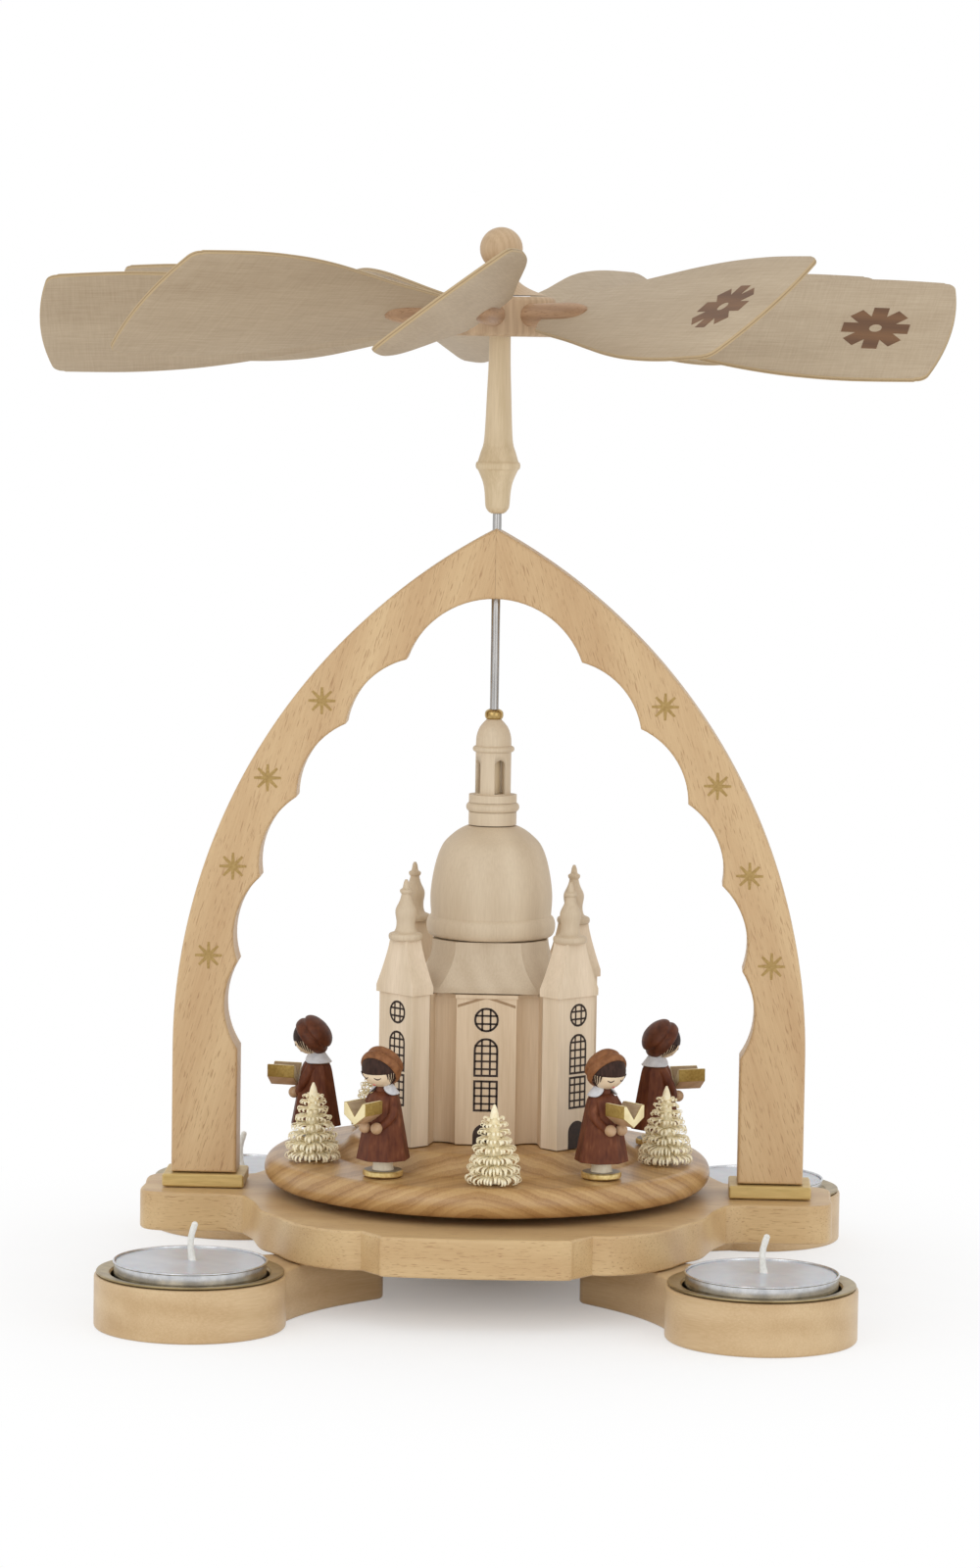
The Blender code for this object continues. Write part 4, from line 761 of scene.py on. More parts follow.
def spun(profile, steps, closed=False):
    """A solid of revolution about Z from (radius, height) points."""
    bm = bmesh.new()
    line = [bm.verts.new((radius, 0, height)) for radius, height in profile]
    edges = [bm.edges.new(pair) for pair in zip(line, line[1:])]
    if closed:
        edges.append(bm.edges.new((line[-1], line[0])))
    bmesh.ops.spin(bm, geom=line + edges, cent=(0, 0, 0), axis=(0, 0, 1), angle=FULL_TURN, steps=steps)
    bmesh.ops.remove_doubles(bm, verts=bm.verts, dist=MERGE)
    return bm


def prism(outline, bottom, top):
    bm = bmesh.new()
    base = bm.faces.new([bm.verts.new((x, y, bottom)) for x, y in outline])
    drawn = bmesh.ops.extrude_face_region(bm, geom=[base])
    risen = [item for item in drawn["geom"] if isinstance(item, bmesh.types.BMVert)]
    bmesh.ops.translate(bm, verts=risen, vec=(0, 0, top - bottom))
    bmesh.ops.recalc_face_normals(bm, faces=bm.faces)
    return bm


def ease_flat_edges(bm, width, steps=BEVEL_STEPS):
    """A rounding round the edges of the flat faces square to Z, but not where two halves are glued."""
    flat = [face for face in bm.faces if abs(face.normal[Z]) > math.cos(SHARP_ANGLE)]
    edges = {edge for face in flat for edge in face.edges}
    eased = [edge for edge in edges if max(abs(vert.co.x) for vert in edge.verts) > 2 * GLUE_LINE]
    bmesh.ops.bevel(bm, geom=eased, offset=width, segments=steps, profile=0.5, affect="EDGES")


def merged(parts):
    """One mesh from several."""
    whole = bmesh.new()
    for part in parts:
        mesh = bpy.data.meshes.new("part")
        part.to_mesh(mesh)
        part.free()
        whole.from_mesh(mesh)
        bpy.data.meshes.remove(mesh)
    return whole


def steps_to_one(count):
    """Evenly spaced shares from 0 to 1."""
    return [i / (count - 1) for i in range(count)]


def between(first, last, share):
    return first + (last - first) * share


def arc(centre, radius, start, stop, count):
    angles = [start + (stop - start) * i / (count - 1) for i in range(count)]
    return [(centre[0] + radius * math.cos(a), centre[1] + radius * math.sin(a)) for a in angles]


def bulged(first, last, sagitta, count):
    """Points from one end of a chord to the other along an arc that bulges to its left."""
    a = Vector(first)
    b = Vector(last)
    chord = (b - a).length
    radius = (chord * chord / 4 + sagitta * sagitta) / (2 * sagitta)
    left = Vector((a.y - b.y, b.x - a.x)) / chord
    centre = (a + b) / 2 + left * (sagitta - radius)
    start = math.atan2(a.y - centre.y, a.x - centre.x)
    sweep = 2 * math.asin(chord / (2 * radius))
    return arc(centre, radius, start, start - sweep, count)


def smooth_through(points, steps=CURVE_STEPS):
    """A smooth curve through points in a plane or in space."""
    full = [points[0], *points, points[-1]]
    curve = []
    for before, start, end, after in zip(full, full[1:], full[2:], full[3:]):
        for i in range(steps):
            t = i / steps
            point = []
            for a, b, c, d in zip(before, start, end, after):
                bend = 2 * a - 5 * b + 4 * c - d
                twist = 3 * b - a - 3 * c + d
                point.append((2 * b + (c - a) * t + bend * t**2 + twist * t**3) / 2)
            curve.append(tuple(point))
    return curve + [tuple(points[-1])]


def lathe_side(shares, radius, bottom, height, steps=4):
    """A turned side from (height, radius) shares, drawn as a smooth curve."""
    return [(radius * wide, bottom + height * high) for high, wide in smooth_through(shares, steps)]


def turned(angle, radius=0.0, height=0.0):
    """A place on a circle round the spindle, with local +X facing away from it."""
    return Matrix.Rotation(angle, 4, "Z") @ Matrix.Translation((radius, 0, height))


def bridge(bm, rows):
    """Faces between each ring of corners and the next."""
    for lower, upper in zip(rows, rows[1:]):
        for i in range(len(lower)):
            bm.faces.new((lower[i - 1], lower[i], upper[i], upper[i - 1]))


def loft(rings):
    bm = bmesh.new()
    rows = [[bm.verts.new(point) for point in ring] for ring in rings]
    bridge(bm, rows)
    bm.faces.new(rows[0])
    bm.faces.new(rows[-1])
    return bm


def ball(radius, steps, centre=(0, 0, 0), flatten=1.0):
    rows = steps // 2
    angles = [math.pi * i / rows for i in range(rows + 1)]
    profile = [(radius * math.sin(angle), -radius * flatten * math.cos(angle)) for angle in angles]
    profile[0] = (0, profile[0][1])
    profile[-1] = (0, profile[-1][1])
    bm = spun(profile, steps)
    bmesh.ops.translate(bm, verts=bm.verts, vec=centre)
    return bm


def tube(points, radii, steps=12):
    """A closed tube through points in space, with a radius at each."""
    rings = []
    last = len(points) - 1
    for i, point in enumerate(points):
        along = (Vector(points[min(i + 1, last)]) - Vector(points[max(i - 1, 0)])).normalized()
        side = along.orthogonal().normalized() if i == 0 else side
        side = (side - along * side.dot(along)).normalized()
        over = along.cross(side)
        ring = []
        for k in range(steps):
            angle = FULL_TURN * k / steps
            ring.append(Vector(point) + (side * math.cos(angle) + over * math.sin(angle)) * radii[i])
        rings.append(ring)
    return loft(rings)


def mirrored_quarters(quarter):
    upper = quarter + [(-x, y) for x, y in reversed(quarter) if x > MERGE]
    return upper + [(x, -y) for x, y in reversed(upper) if y > MERGE]


def make_plate(looks):
    half_length = reach("base_plate")
    half_depth = reach("base_plate", Y)
    lobes = [
        smooth_through(CENTRE_LOBE_SHARES),
        smooth_through(SIDE_LOBE_SHARES)[1:],
        smooth_through(END_LOBE_SHARES)[1:],
    ]
    quarter = [(x * half_length, y * half_depth) for lobe in lobes for x, y in lobe]
    bm = prism(mirrored_quarters(list(reversed(quarter))), *heights("base_plate"))
    ease_flat_edges(bm, PLATE_ROUNDING)
    board("base_plate_board", bm, looks["plate"], "stand", ["base_plate"])


def arm_outline():
    neck = math.acos(TAIL_START / HOLDER_RADIUS)
    holder = arc((0, 0), HOLDER_RADIUS, neck, FULL_TURN - neck, TURN_STEPS)
    widest = HOLDER_RADIUS * math.sin(neck)
    end = TAIL_END - TAIL_END_HALF_WIDTH
    side = []
    for share in steps_to_one(SMALL_STEPS + 1)[1:]:
        half = between(TAIL_END_HALF_WIDTH, widest, (1 - share) ** TAIL_CURVE_POWER)
        side.append((between(TAIL_START, end, share), half))
    rounded = arc((end, 0), TAIL_END_HALF_WIDTH, -math.pi / 2, math.pi / 2, SMALL_STEPS)[1:-1]
    return holder + [(x, -y) for x, y in side] + rounded + list(reversed(side))


def make_arm(looks, name, place):
    bottom, top = heights("arm_" + name)
    bm = prism(arm_outline(), bottom, top)
    ease_flat_edges(bm, ARM_ROUNDING)
    arm = new_object("arm_board_" + name, bm, [looks["arm"]], place)
    hole = [(0, ARM_FLOOR), (HOLE_RADIUS, ARM_FLOOR), (HOLE_RADIUS, top + OVERRUN), (0, top + OVERRUN)]
    carve(arm, spun(hole, TURN_STEPS), place)
    flatten_shading(arm)
    settle(arm, "stand", ["arm_" + name])


def make_insert(looks, name, place):
    """A brass cup with a wide, rounded flange that slopes in to its bore."""
    node = "candle_insert_" + name
    bottom, top = heights(node)
    outer = HOLE_RADIUS - 2 * SEAM
    inner = outer - INSERT_WALL
    lip = top - INSERT_FLANGE
    half = INSERT_FLANGE / 2
    edge = radius_of(node) - half
    profile = [
        (0, bottom), (outer, bottom), (outer, lip), (edge, lip),
        *arc((edge, top - half), half, -math.pi / 2, math.pi / 2, 7), (inner + INSERT_FLANGE, lip),
        (inner, top - 2 * INSERT_FLANGE), (inner, bottom + INSERT_WALL), (0, bottom + INSERT_WALL),
    ]
    piece("insert_ring_" + name, spun(profile, TURN_STEPS), looks["brass"], "stand", [node], place)


def make_cup(looks, name, place):
    """The thin cup with its rolled rim and rounded foot."""
    bottom, top = heights("tealight_cup_" + name)
    radius = radius_of("tealight_cup_" + name)
    inner = radius - TEALIGHT_WALL
    side = radius - TEALIGHT_RIM
    roll = arc((radius - TEALIGHT_RIM, top - TEALIGHT_RIM), TEALIGHT_RIM, -math.pi / 2, math.pi, 10)
    profile = [
        (0, bottom), (side - TEALIGHT_RIM, bottom), (side, bottom + TEALIGHT_RIM),
        (side, top - 3 * TEALIGHT_RIM), *roll, (inner - TEALIGHT_WALL, bottom + TEALIGHT_WALL),
        (0, bottom + TEALIGHT_WALL),
    ]
    piece("tealight_can_" + name, spun(profile, TURN_STEPS), looks["aluminium"], "tealight_" + name,
          ["tealight_cup_" + name], place)


def make_wax(looks, name, place):
    """Wax with a soft shoulder at the wall and a slight rise round the wick."""
    bottom = heights("tealight_wax_" + name)[0]
    level = heights("tealight_cup_" + name)[1] - WAX_DROP
    edge = radius_of("tealight_cup_" + name) - 2.2 * TEALIGHT_RIM
    profile = [
        (0, bottom), (edge, bottom), (edge, level - TEALIGHT_RIM),
        (edge - TEALIGHT_RIM, level - TEALIGHT_WALL / 3),
        (edge - 3 * TEALIGHT_RIM, level - TEALIGHT_WALL / 4), (edge / 2, level),
        (WICK_RADIUS * 3, level + TEALIGHT_WALL / 2), (WICK_RADIUS * 1.4, level + TEALIGHT_RIM),
        (0, level + TEALIGHT_RIM),
    ]
    body = "tealight_" + name
    wax = spun(profile, TURN_STEPS)
    piece("wax_" + name, wax, looks["wax"], body, ["tealight_wax_" + name], place)
    path = smooth_through([
        (WICK_LEAN * 0.5, 0, level - WICK_RADIUS), (WICK_LEAN * 0.1, 0, level + WICK_HEIGHT * 0.25),
        (WICK_LEAN * 0.1, 0, level + WICK_HEIGHT * 0.6), (WICK_LEAN, 0, level + WICK_HEIGHT),
    ], 6)
    radii = []
    for i, share in enumerate(steps_to_one(len(path))):
        foot = WICK_FOOT * max(0, 1 - share * 2.6) ** 2
        radii.append(WICK_RADIUS * (1 + foot + 0.05 * math.sin(2.2 * i)))
    radii[-1] = WICK_RADIUS * WICK_TIP_SHARE
    piece("wick_" + name, tube(path, radii, 16), looks["wick"], body, place=place)


def make_candle_places(looks):
    for name in CANDLE_SIDES:
        spot = centre_of("tealight_cup_" + name)
        place = Matrix.Translation((spot.x, spot.y, 0))
        inwards = Matrix.Rotation(math.atan2(-spot.y, -spot.x), 4, "Z")
        make_arm(looks, name, place @ inwards)
        make_insert(looks, name, place)
        make_cup(looks, name, place)
        make_wax(looks, name, place)


def arch_outline(half_width, bottom, apex):
    """Half the arch in X and Z, from its leg over the point and back along the scallops."""
    spring = apex - ARCH_RISE
    radius = (half_width**2 + ARCH_RISE**2) / (2 * half_width)
    centre = (half_width - radius, spring)
    outer = arc(centre, radius, 0, math.acos((GLUE_LINE - centre[0]) / radius), ROUND_STEPS)
    cusps = [(half_width - ARCH_LEG_WIDTH, spring)]
    for i in range(1, SCALLOPS + 1):
        cusps.append(arc(centre, radius - ARCH_CUSP_DEPTH, SCALLOP_PITCH * i, 0, 2)[0])
    crown = (GLUE_LINE, apex - ARCH_CROWN_DEPTH)
    rise = crown[1] - cusps[-1][1]
    crown_radius = (cusps[-1][0] ** 2 + rise**2) / (2 * rise)
    crown_middle = (0, crown[1] - crown_radius)
    end = math.atan2(cusps[-1][1] - crown_middle[1], cusps[-1][0])
    inner = arc(crown_middle, crown_radius, math.pi / 2, end, 2 * CURVE_STEPS)
    inner[0] = crown
    for upper, lower in zip(reversed(cusps[1:]), reversed(cusps[:-1])):
        inner += bulged(upper, lower, SCALLOP_SAGITTA, 2 * CURVE_STEPS)[1:]
    return [(half_width - ARCH_LEG_WIDTH, bottom), (half_width, bottom), *outer, *inner]


def make_arch(looks):
    bottom, apex = heights("arch_right")
    depth = reach("arch_right", Y)
    for name, side in (("arch_left", -1), ("arch_right", 1)):
        outline = [(side * x, z) for x, z in arch_outline(reach("arch_right"), bottom, apex)]
        bm = prism(outline, -depth, depth)
        ease_flat_edges(bm, ARCH_ROUNDING)
        board(name + "_board", moved(bm, UPRIGHT), looks[name], "stand", [name])


def make_spindle(looks):
    bottom, top = heights("spindle_rod")
    radius = reach("spindle_rod", Y)
    tip = bottom + SPINDLE_POINT
    profile = [(0, bottom), (radius, tip), (radius, top - radius), (radius / 2, top), (0, top)]
    piece("spindle_steel", spun(profile, SMALL_STEPS), looks["steel"], "carousel", ["spindle_rod"])


def make_platform(looks):
    """A thick disc with a rounded edge, and a low raise that the church stands on."""
    bottom, raise_top = heights("platform")
    radius = reach("platform")
    top = bottom + PLATFORM_THICKNESS
    half = PLATFORM_THICKNESS / 2
    profile = [(BORE, bottom), (radius - PLATFORM_UNDERCUT, bottom)]
    profile += arc((radius - half, bottom + half), half, -math.pi / 2, math.pi / 2, EDGE_STEPS)
    for share in steps_to_one(2 * CURVE_STEPS):
        rise = (1 - math.cos(math.pi * share)) / 2
        profile.append((between(RAISE_FOOT_RADIUS, RAISE_RADIUS, share), between(top, raise_top, rise)))
    profile.append((BORE, raise_top))
    disc = spun(profile, TURN_STEPS, closed=True)
    piece("platform_disc", disc, looks["platform"], "carousel", ["platform"])


def rectangle(depth, width, height):
    x = depth / 2
    y = width / 2
    return [(x, -y, height), (x, y, height), (-x, y, height), (-x, -y, height)]


def tower_shape(foot, wall_top):
    band_top = wall_top + EAVE_HEIGHT
    roof_top = wall_top + TOWER_ROOF_HEIGHT
    depth = TOWER_DEPTH + 2 * EAVE_OVERHANG
    width = TOWER_WIDTH + 2 * EAVE_OVERHANG
    rings = [
        rectangle(TOWER_DEPTH, TOWER_WIDTH, foot), rectangle(TOWER_DEPTH, TOWER_WIDTH, wall_top),
        rectangle(depth, width, wall_top), rectangle(depth, width, band_top),
    ]
    for share in steps_to_one(CURVE_STEPS + 1)[1:]:
        left = (1 - share) ** TOWER_ROOF_POWER
        ring_depth = between(TOWER_ROOF_TOP_DEPTH, depth, left)
        ring_width = between(TOWER_ROOF_TOP_WIDTH, width, left)
        rings.append(rectangle(ring_depth, ring_width, between(band_top, roof_top, share)))
    return loft(rings)


def church_plan(grow):
    """Four bays, hollow coves beside them, and a wing at each corner that carries a tower."""
    bay = BAY_HALF_WIDTH + grow
    front = BAY_FRONT + grow
    recess = BAY_FRONT - RECESS_DEPTH + grow
    side = BAY_FRONT - 2 * RECESS_DEPTH - grow
    end = TOWER_DISTANCE - TOWER_DEPTH / 2 - SEAM
    near = (end - WING_HALF_WIDTH) / math.sqrt(2)
    far = (end + WING_HALF_WIDTH) / math.sqrt(2)
    cove = bulged((front - COVE_STEP, bay), (recess, side), COVE_DEPTH, 2 * CURVE_STEPS)
    half = [(front, 0), (front, bay), *cove, (far, near)]
    return mirrored_quarters(half + [(y, x) for x, y in reversed(half)])


def make_church_walls(looks):
    bottom, top = heights("church_body")
    walls = prism(church_plan(0), bottom, top - CORNICE_HEIGHT / 2)
    ease_flat_edges(walls, SEAM, 2)
    cornice = prism(church_plan(CORNICE_OVERHANG), top - CORNICE_HEIGHT, top)
    ease_flat_edges(cornice, SEAM, 2)
    # The walls take the darker copy of the church lime, as painted shade
    board("church_walls", merged([walls, cornice]), looks["bay"], "carousel", ["church_body"])


def make_towers(looks):
    for name, degrees in TOWERS.items():
        node = "church_tower_" + name
        place = turned(math.radians(degrees), TOWER_DISTANCE)
        foot, tip = heights(node)
        finial_foot = tip - FINIAL_HEIGHT
        wall_top = finial_foot + FINIAL_SINK - TOWER_ROOF_HEIGHT
        piece("tower_walls_" + name, tower_shape(foot, wall_top), looks["church"], "carousel",
              [node], place)
        side = lathe_side(FINIAL_SHARES, FINIAL_RADIUS, finial_foot, FINIAL_HEIGHT, 2)
        finial = spun([(0, finial_foot), *side, (0, tip)], SMALL_STEPS)
        # The finials take the darker copy of the church lime, as painted shade
        piece("tower_finial_" + name, finial, looks["dome"], "carousel", place=place)


def octagon(middle, face, height):
    """Eight corners from the distance of the main sides and half their width."""
    quarter = [(middle, face), (face, middle)]
    half = quarter + [(-x, y) for x, y in reversed(quarter)]
    return [(x, y, height) for x, y in half + [(-x, -y) for x, y in half]]


def make_roof(looks):
    """The swept roof: wide slopes over the bays and narrow ones towards the towers."""
    bottom, top = heights("church_roof")
    rings = []
    for share in steps_to_one(2 * CURVE_STEPS):
        left = (1 - share) ** ROOF_SWEEP_POWER
        middle = between(ROOF_TOP, ROOF_BASE, left)
        face = between(ROOF_TOP_FACE, ROOF_BASE_FACE, left)
        rings.append(octagon(middle, face, between(bottom, top, share)))
    # The roof takes the darker copy of the church lime, as painted shade
    piece("roof_slopes", loft(rings), looks["roof"], "carousel", ["church_roof"])


def make_dome(looks):
    bottom, top = heights("church_dome")
    half = DOME_RING_HEIGHT / 2
    ring = []
    for x, z in arc((0, 0), 1, -math.pi / 2, math.pi / 2, EDGE_STEPS)[:DOME_RING_KEPT]:
        ring.append((DOME_RING_RADIUS + (x - 1) * DOME_RING_BULGE, bottom + half * (1 + z)))
    ring_top = bottom + DOME_RING_HEIGHT
    shell = lathe_side(DOME_SHARES, DOME_RADIUS, ring_top, top - ring_top, 6)
    bm = spun([(BORE, bottom), *ring, *shell, (BORE, top)], TURN_STEPS, closed=True)
    # The dome takes the darker copy of the church lime, as painted shade
    piece("dome_shell", bm, looks["dome"], "carousel", ["church_dome"])


def lantern_profile(bottom):
    ring_bottom = bottom + LANTERN_DRUM_HEIGHT
    ring_top = ring_bottom + LANTERN_RING_HEIGHT
    wall_bottom = ring_top + LANTERN_STEP_HEIGHT
    wall_top = wall_bottom + LANTERN_WALL_HEIGHT
    cap_bottom = wall_top + LANTERN_CORNICE_HEIGHT
    half_ring = LANTERN_RING_HEIGHT / 2
    bow = LANTERN_RING_ARC
    ring = arc((LANTERN_RING_RADIUS - half_ring, (ring_bottom + ring_top) / 2), half_ring, -bow, bow, 12)
    half_cornice = LANTERN_CORNICE_HEIGHT / 2
    cornice_middle = (LANTERN_CORNICE_RADIUS - half_cornice, wall_top + half_cornice)
    cornice = arc(cornice_middle, half_cornice, -bow, bow, 8)
    cap = lathe_side(LANTERN_CAP_SHARES, LANTERN_RADIUS, cap_bottom, LANTERN_CAP_HEIGHT)
    return [
        (BORE, bottom), (LANTERN_DRUM_RADIUS, bottom), (LANTERN_DRUM_RADIUS, ring_bottom), *ring,
        (LANTERN_DRUM_RADIUS, ring_top), (LANTERN_DRUM_RADIUS, wall_bottom), (LANTERN_RADIUS, wall_bottom),
        (LANTERN_RADIUS, wall_top), *cornice, *cap, (BORE, cap_bottom + LANTERN_CAP_HEIGHT), (BORE, wall_top),
        (LANTERN_BORE, wall_top), (LANTERN_BORE, wall_bottom), (BORE, wall_bottom),
    ]


def make_lantern(looks):
    bottom = heights("lantern")[0]
    profile = lantern_profile(bottom)
    # The lantern takes the darker copy of the church lime, as painted shade
    lantern = new_object("lantern_turret", spun(profile, ROUND_STEPS, closed=True), [looks["dome"]])
    half = LANTERN_OPENING_WIDTH / 2
    low = bottom + LANTERN_DRUM_HEIGHT + LANTERN_RING_HEIGHT + LANTERN_STEP_HEIGHT + 2 * SEAM
    spring = low + LANTERN_OPENING_HEIGHT - half
    outline = [(-half, low), (half, low)] + arc((0, spring), half, 0, math.pi, 2 * CURVE_STEPS)
    for quarter in (0, math.pi / 2):
        bm = prism(outline, -LANTERN_DRUM_RADIUS, LANTERN_DRUM_RADIUS)
        carve(lantern, moved(bm, UPRIGHT), turned(LANTERN_TURN + quarter))
    settle(lantern, "carousel", ["lantern"])
    top = low + LANTERN_WALL_HEIGHT - 2 * SEAM
    core = [(BORE, low), (LANTERN_CORE_RADIUS, low), (LANTERN_CORE_RADIUS, top), (BORE, top)]
    piece("lantern_core", spun(core, SMALL_STEPS, closed=True), looks["rotor"], "carousel")


def make_bead(looks):
    bottom = heights("lantern")[1] - SEAM
    side = lathe_side(BEAD_SHARES, BEAD_RADIUS, bottom, BEAD_HEIGHT)
    bm = spun([(BORE, bottom), *side, (BORE, bottom + BEAD_HEIGHT)], SMALL_STEPS, closed=True)
    piece("bead_turned", bm, looks["bead"], "carousel", ["brass_bead"])


def plate_shape(outer, inner=None):
    """A thin print from an outline in (across, up), with a hole of as many points if there is one."""
    if inner is None:
        return prism(outer, 0, PRINT)
    bm = bmesh.new()
    rows = []
    for outline, height in ((outer, 0), (outer, PRINT), (inner, PRINT), (inner, 0)):
        rows.append([bm.verts.new((x, y, height)) for x, y in outline])
    bridge(bm, rows + rows[:1])
    return bm


def bar(x0, y0, x1, y1):
    return plate_shape([(x0, y0), (x1, y0), (x1, y1), (x0, y1)])


def arched(half, bottom, height, grow):
    """An outline with a round head, drawn in by grow all round where grow is negative."""
    spring = bottom + height - half
    wide = half + grow
    head = arc((0, spring), wide, 0, math.pi, 2 * CURVE_STEPS)
    return [(-wide, bottom - grow), (wide, bottom - grow), *head]


def framed(half, bottom, height, columns, rows, head):
    """A window: its frame, and its bars clipped to the frame. The head is round, square or a full circle."""
    top = bottom + height
    if head == "circle":
        middle = (0, bottom + half)
        outer = arc(middle, half, 0, FULL_TURN, SMALL_STEPS + 1)[:-1]
        inner = arc(middle, half - FRAME_LINE, 0, FULL_TURN, SMALL_STEPS + 1)[:-1]
    elif head == "round":
        outer = arched(half, bottom, height, 0)
        inner = arched(half, bottom, height, -FRAME_LINE)
    else:
        outer = [(-half, bottom), (half, bottom), (half, top), (-half, top)]
        inset = half - FRAME_LINE
        low, high = bottom + FRAME_LINE, top - FRAME_LINE
        inner = [(-inset, low), (inset, low), (inset, high), (-inset, high)]
    parts = [plate_shape(outer, inner)]
    spring = {"circle": bottom + half, "round": top - half, "square": top}[head]
    for i in range(1, columns):
        x = half * (2 * i / columns - 1)
        lift = math.sqrt(half**2 - x**2) if head != "square" else 0
        foot = spring - lift if head == "circle" else bottom
        parts.append(bar(x - LINE / 2, foot, x + LINE / 2, spring + lift))
    for i in range(1, rows):
        y = bottom + height * i / rows
        off = y - spring
        clipped = head == "circle" or (head == "round" and off > 0)
        wide = math.sqrt(max(half**2 - off**2, 0)) if clipped else half
        parts.append(bar(-wide, y - LINE / 2, wide, y + LINE / 2))
    return merged(parts)


def on_wall(degrees, distance, foot):
    """A wall's own frame: local X across it, Y up it and Z out of it."""
    return turned(math.radians(degrees), distance, foot) @ FACING_OUT


def make_wall_prints(looks, name, wall, places):
    """The round, arched and square windows over each other, and the door under them."""
    width = places["width"]
    half = width / 2
    wall = wall @ Matrix.Translation((places["across"], 0, 0))
    prints = {
        "round_window": framed(half, places["round"] - half, width, 3, 3, "circle"),
        "arched_window": framed(half, *places["arched"], 3, 5, "round"),
        "square_window": framed(half, *places["square"], 3, 4, "square"),
        "door": plate_shape(arched(half, 0, places["door"], 0)),
    }
    for word, bm in prints.items():
        piece(f"{name}_{word}", bm, looks["window"], "carousel", place=wall)


# Painted shade: two darker lines in a gable over each bay, where a shallow relief casts its shadow
def make_pediment(looks, name, wall):
    foot, top, edge = PEDIMENT_FOOT_RAISE, PEDIMENT_TOP_RAISE, PEDIMENT_HALF_WIDTH
    outline = [
        (-edge, foot), (0, top - PEDIMENT_LINE), (edge, foot), (edge, foot + PEDIMENT_LINE), (0, top),
        (-edge, foot + PEDIMENT_LINE),
    ]
    piece(name + "_pediment", plate_shape(outline), looks["shade"], "carousel", place=wall)


def make_church_prints(looks):
    foot = heights("church_body")[0]
    for name, degrees in BAYS.items():
        wall = on_wall(degrees, BAY_FRONT, foot)
        make_wall_prints(looks, "bay_" + name, wall, BAY_PRINTS)
        make_pediment(looks, "bay_" + name, wall)
    for name, degrees in TOWERS.items():
        wall = on_wall(degrees, TOWER_DISTANCE + TOWER_DEPTH / 2, foot)
        make_wall_prints(looks, "tower_" + name, wall, TOWER_PRINTS)


def rayed(radius, line, rays, tip=1.0):
    """A star outline of straight rays, as wide as the line at the root and this share of it at the tip."""
    notch = line / 2 / math.sin(math.pi / rays)
    outline = []
    for i in range(rays):
        angle = FULL_TURN * i / rays
        along = Vector((math.cos(angle), math.sin(angle)))
        across = Vector((-along.y, along.x)) * line * tip / 2
        outline.append(tuple(along * radius - across))
        outline.append(tuple(along * radius + across))
        halfway = angle + math.pi / rays
        outline.append((notch * math.cos(halfway), notch * math.sin(halfway)))
    return outline


def make_stars(looks):
    front = -reach("arch_right", Y)
    for side, word in ((-1, "left"), (1, "right")):
        for i, (x, z) in enumerate(STAR_PLACES):
            place = Matrix.Translation((side * x, front, z)) @ UPRIGHT
            bm = plate_shape(rayed(STAR_RADIUS, STAR_LINE, STAR_RAYS, STAR_TIP_SHARE))
            piece(f"star_{word}_{i + 1}", bm, looks["star"], "stand", place=place)


def coat_ring(radius, height):
    """An eight-sided ring with softened corners."""
    ring = []
    count = 6 * COAT_SIDES
    for i in range(count):
        angle = FULL_TURN * i / count
        within = (angle + math.pi / COAT_SIDES) % (FULL_TURN / COAT_SIDES) - math.pi / COAT_SIDES
        facet = (math.cos(math.pi / COAT_SIDES) / math.cos(within)) ** COAT_CORNER_POWER
        turn = angle + math.pi / COAT_SIDES
        ring.append((radius * facet * math.cos(turn), radius * facet * math.sin(turn), height))
    return ring


def coat_shape():
    """The carved coat, with sleeves that come forward to the hands."""
    rings = [coat_ring(COAT_HEM_RADIUS - 2 * SEAM, HEM)]
    for height, share in smooth_through(COAT_SHARES, 4):
        radius = between(COAT_TOP_RADIUS, COAT_HEM_RADIUS, share)
        rings.append(coat_ring(radius, HEM + SEAM + (COAT_HEIGHT - SEAM) * height))
    parts = [loft(rings)]
    for side in (-1, 1):
        path = smooth_through([Vector((joint.x, side * joint.y, joint.z)) for joint in COAT_ARM], 6)
        radii = [COAT_ARM_RADIUS - COAT_ARM_TAPER * i / (len(path) - 1) for i in range(len(path))]
        parts.append(tube(path, radii, 16))
    return merged(parts)


def leg_shape():
    """One turned peg for both legs."""
    edge = 2 * SEAM
    return spun([
        (0, DISC_HEIGHT - SEAM), (LEG_RADIUS, DISC_HEIGHT - SEAM),
        (LEG_RADIUS - edge, (DISC_HEIGHT + HEM) / 2), (LEG_RADIUS, HEM + SEAM), (0, HEM + SEAM),
    ], SMALL_STEPS)


def disc_shape():
    edge = 2 * SEAM
    outer = DISC_RADIUS
    return spun([
        (0, 0), (outer - edge, 0), (outer, edge), (outer, DISC_HEIGHT - edge), (outer - edge, DISC_HEIGHT),
        (0, DISC_HEIGHT),
    ], ROUND_STEPS)


def on_head(azimuth, elevation, radius=HEAD_RADIUS):
    a = math.radians(azimuth)
    e = math.radians(elevation)
    flat = radius * math.cos(e)
    return HEAD_CENTRE + Vector((flat * math.cos(a), flat * math.sin(a), radius * math.sin(e)))


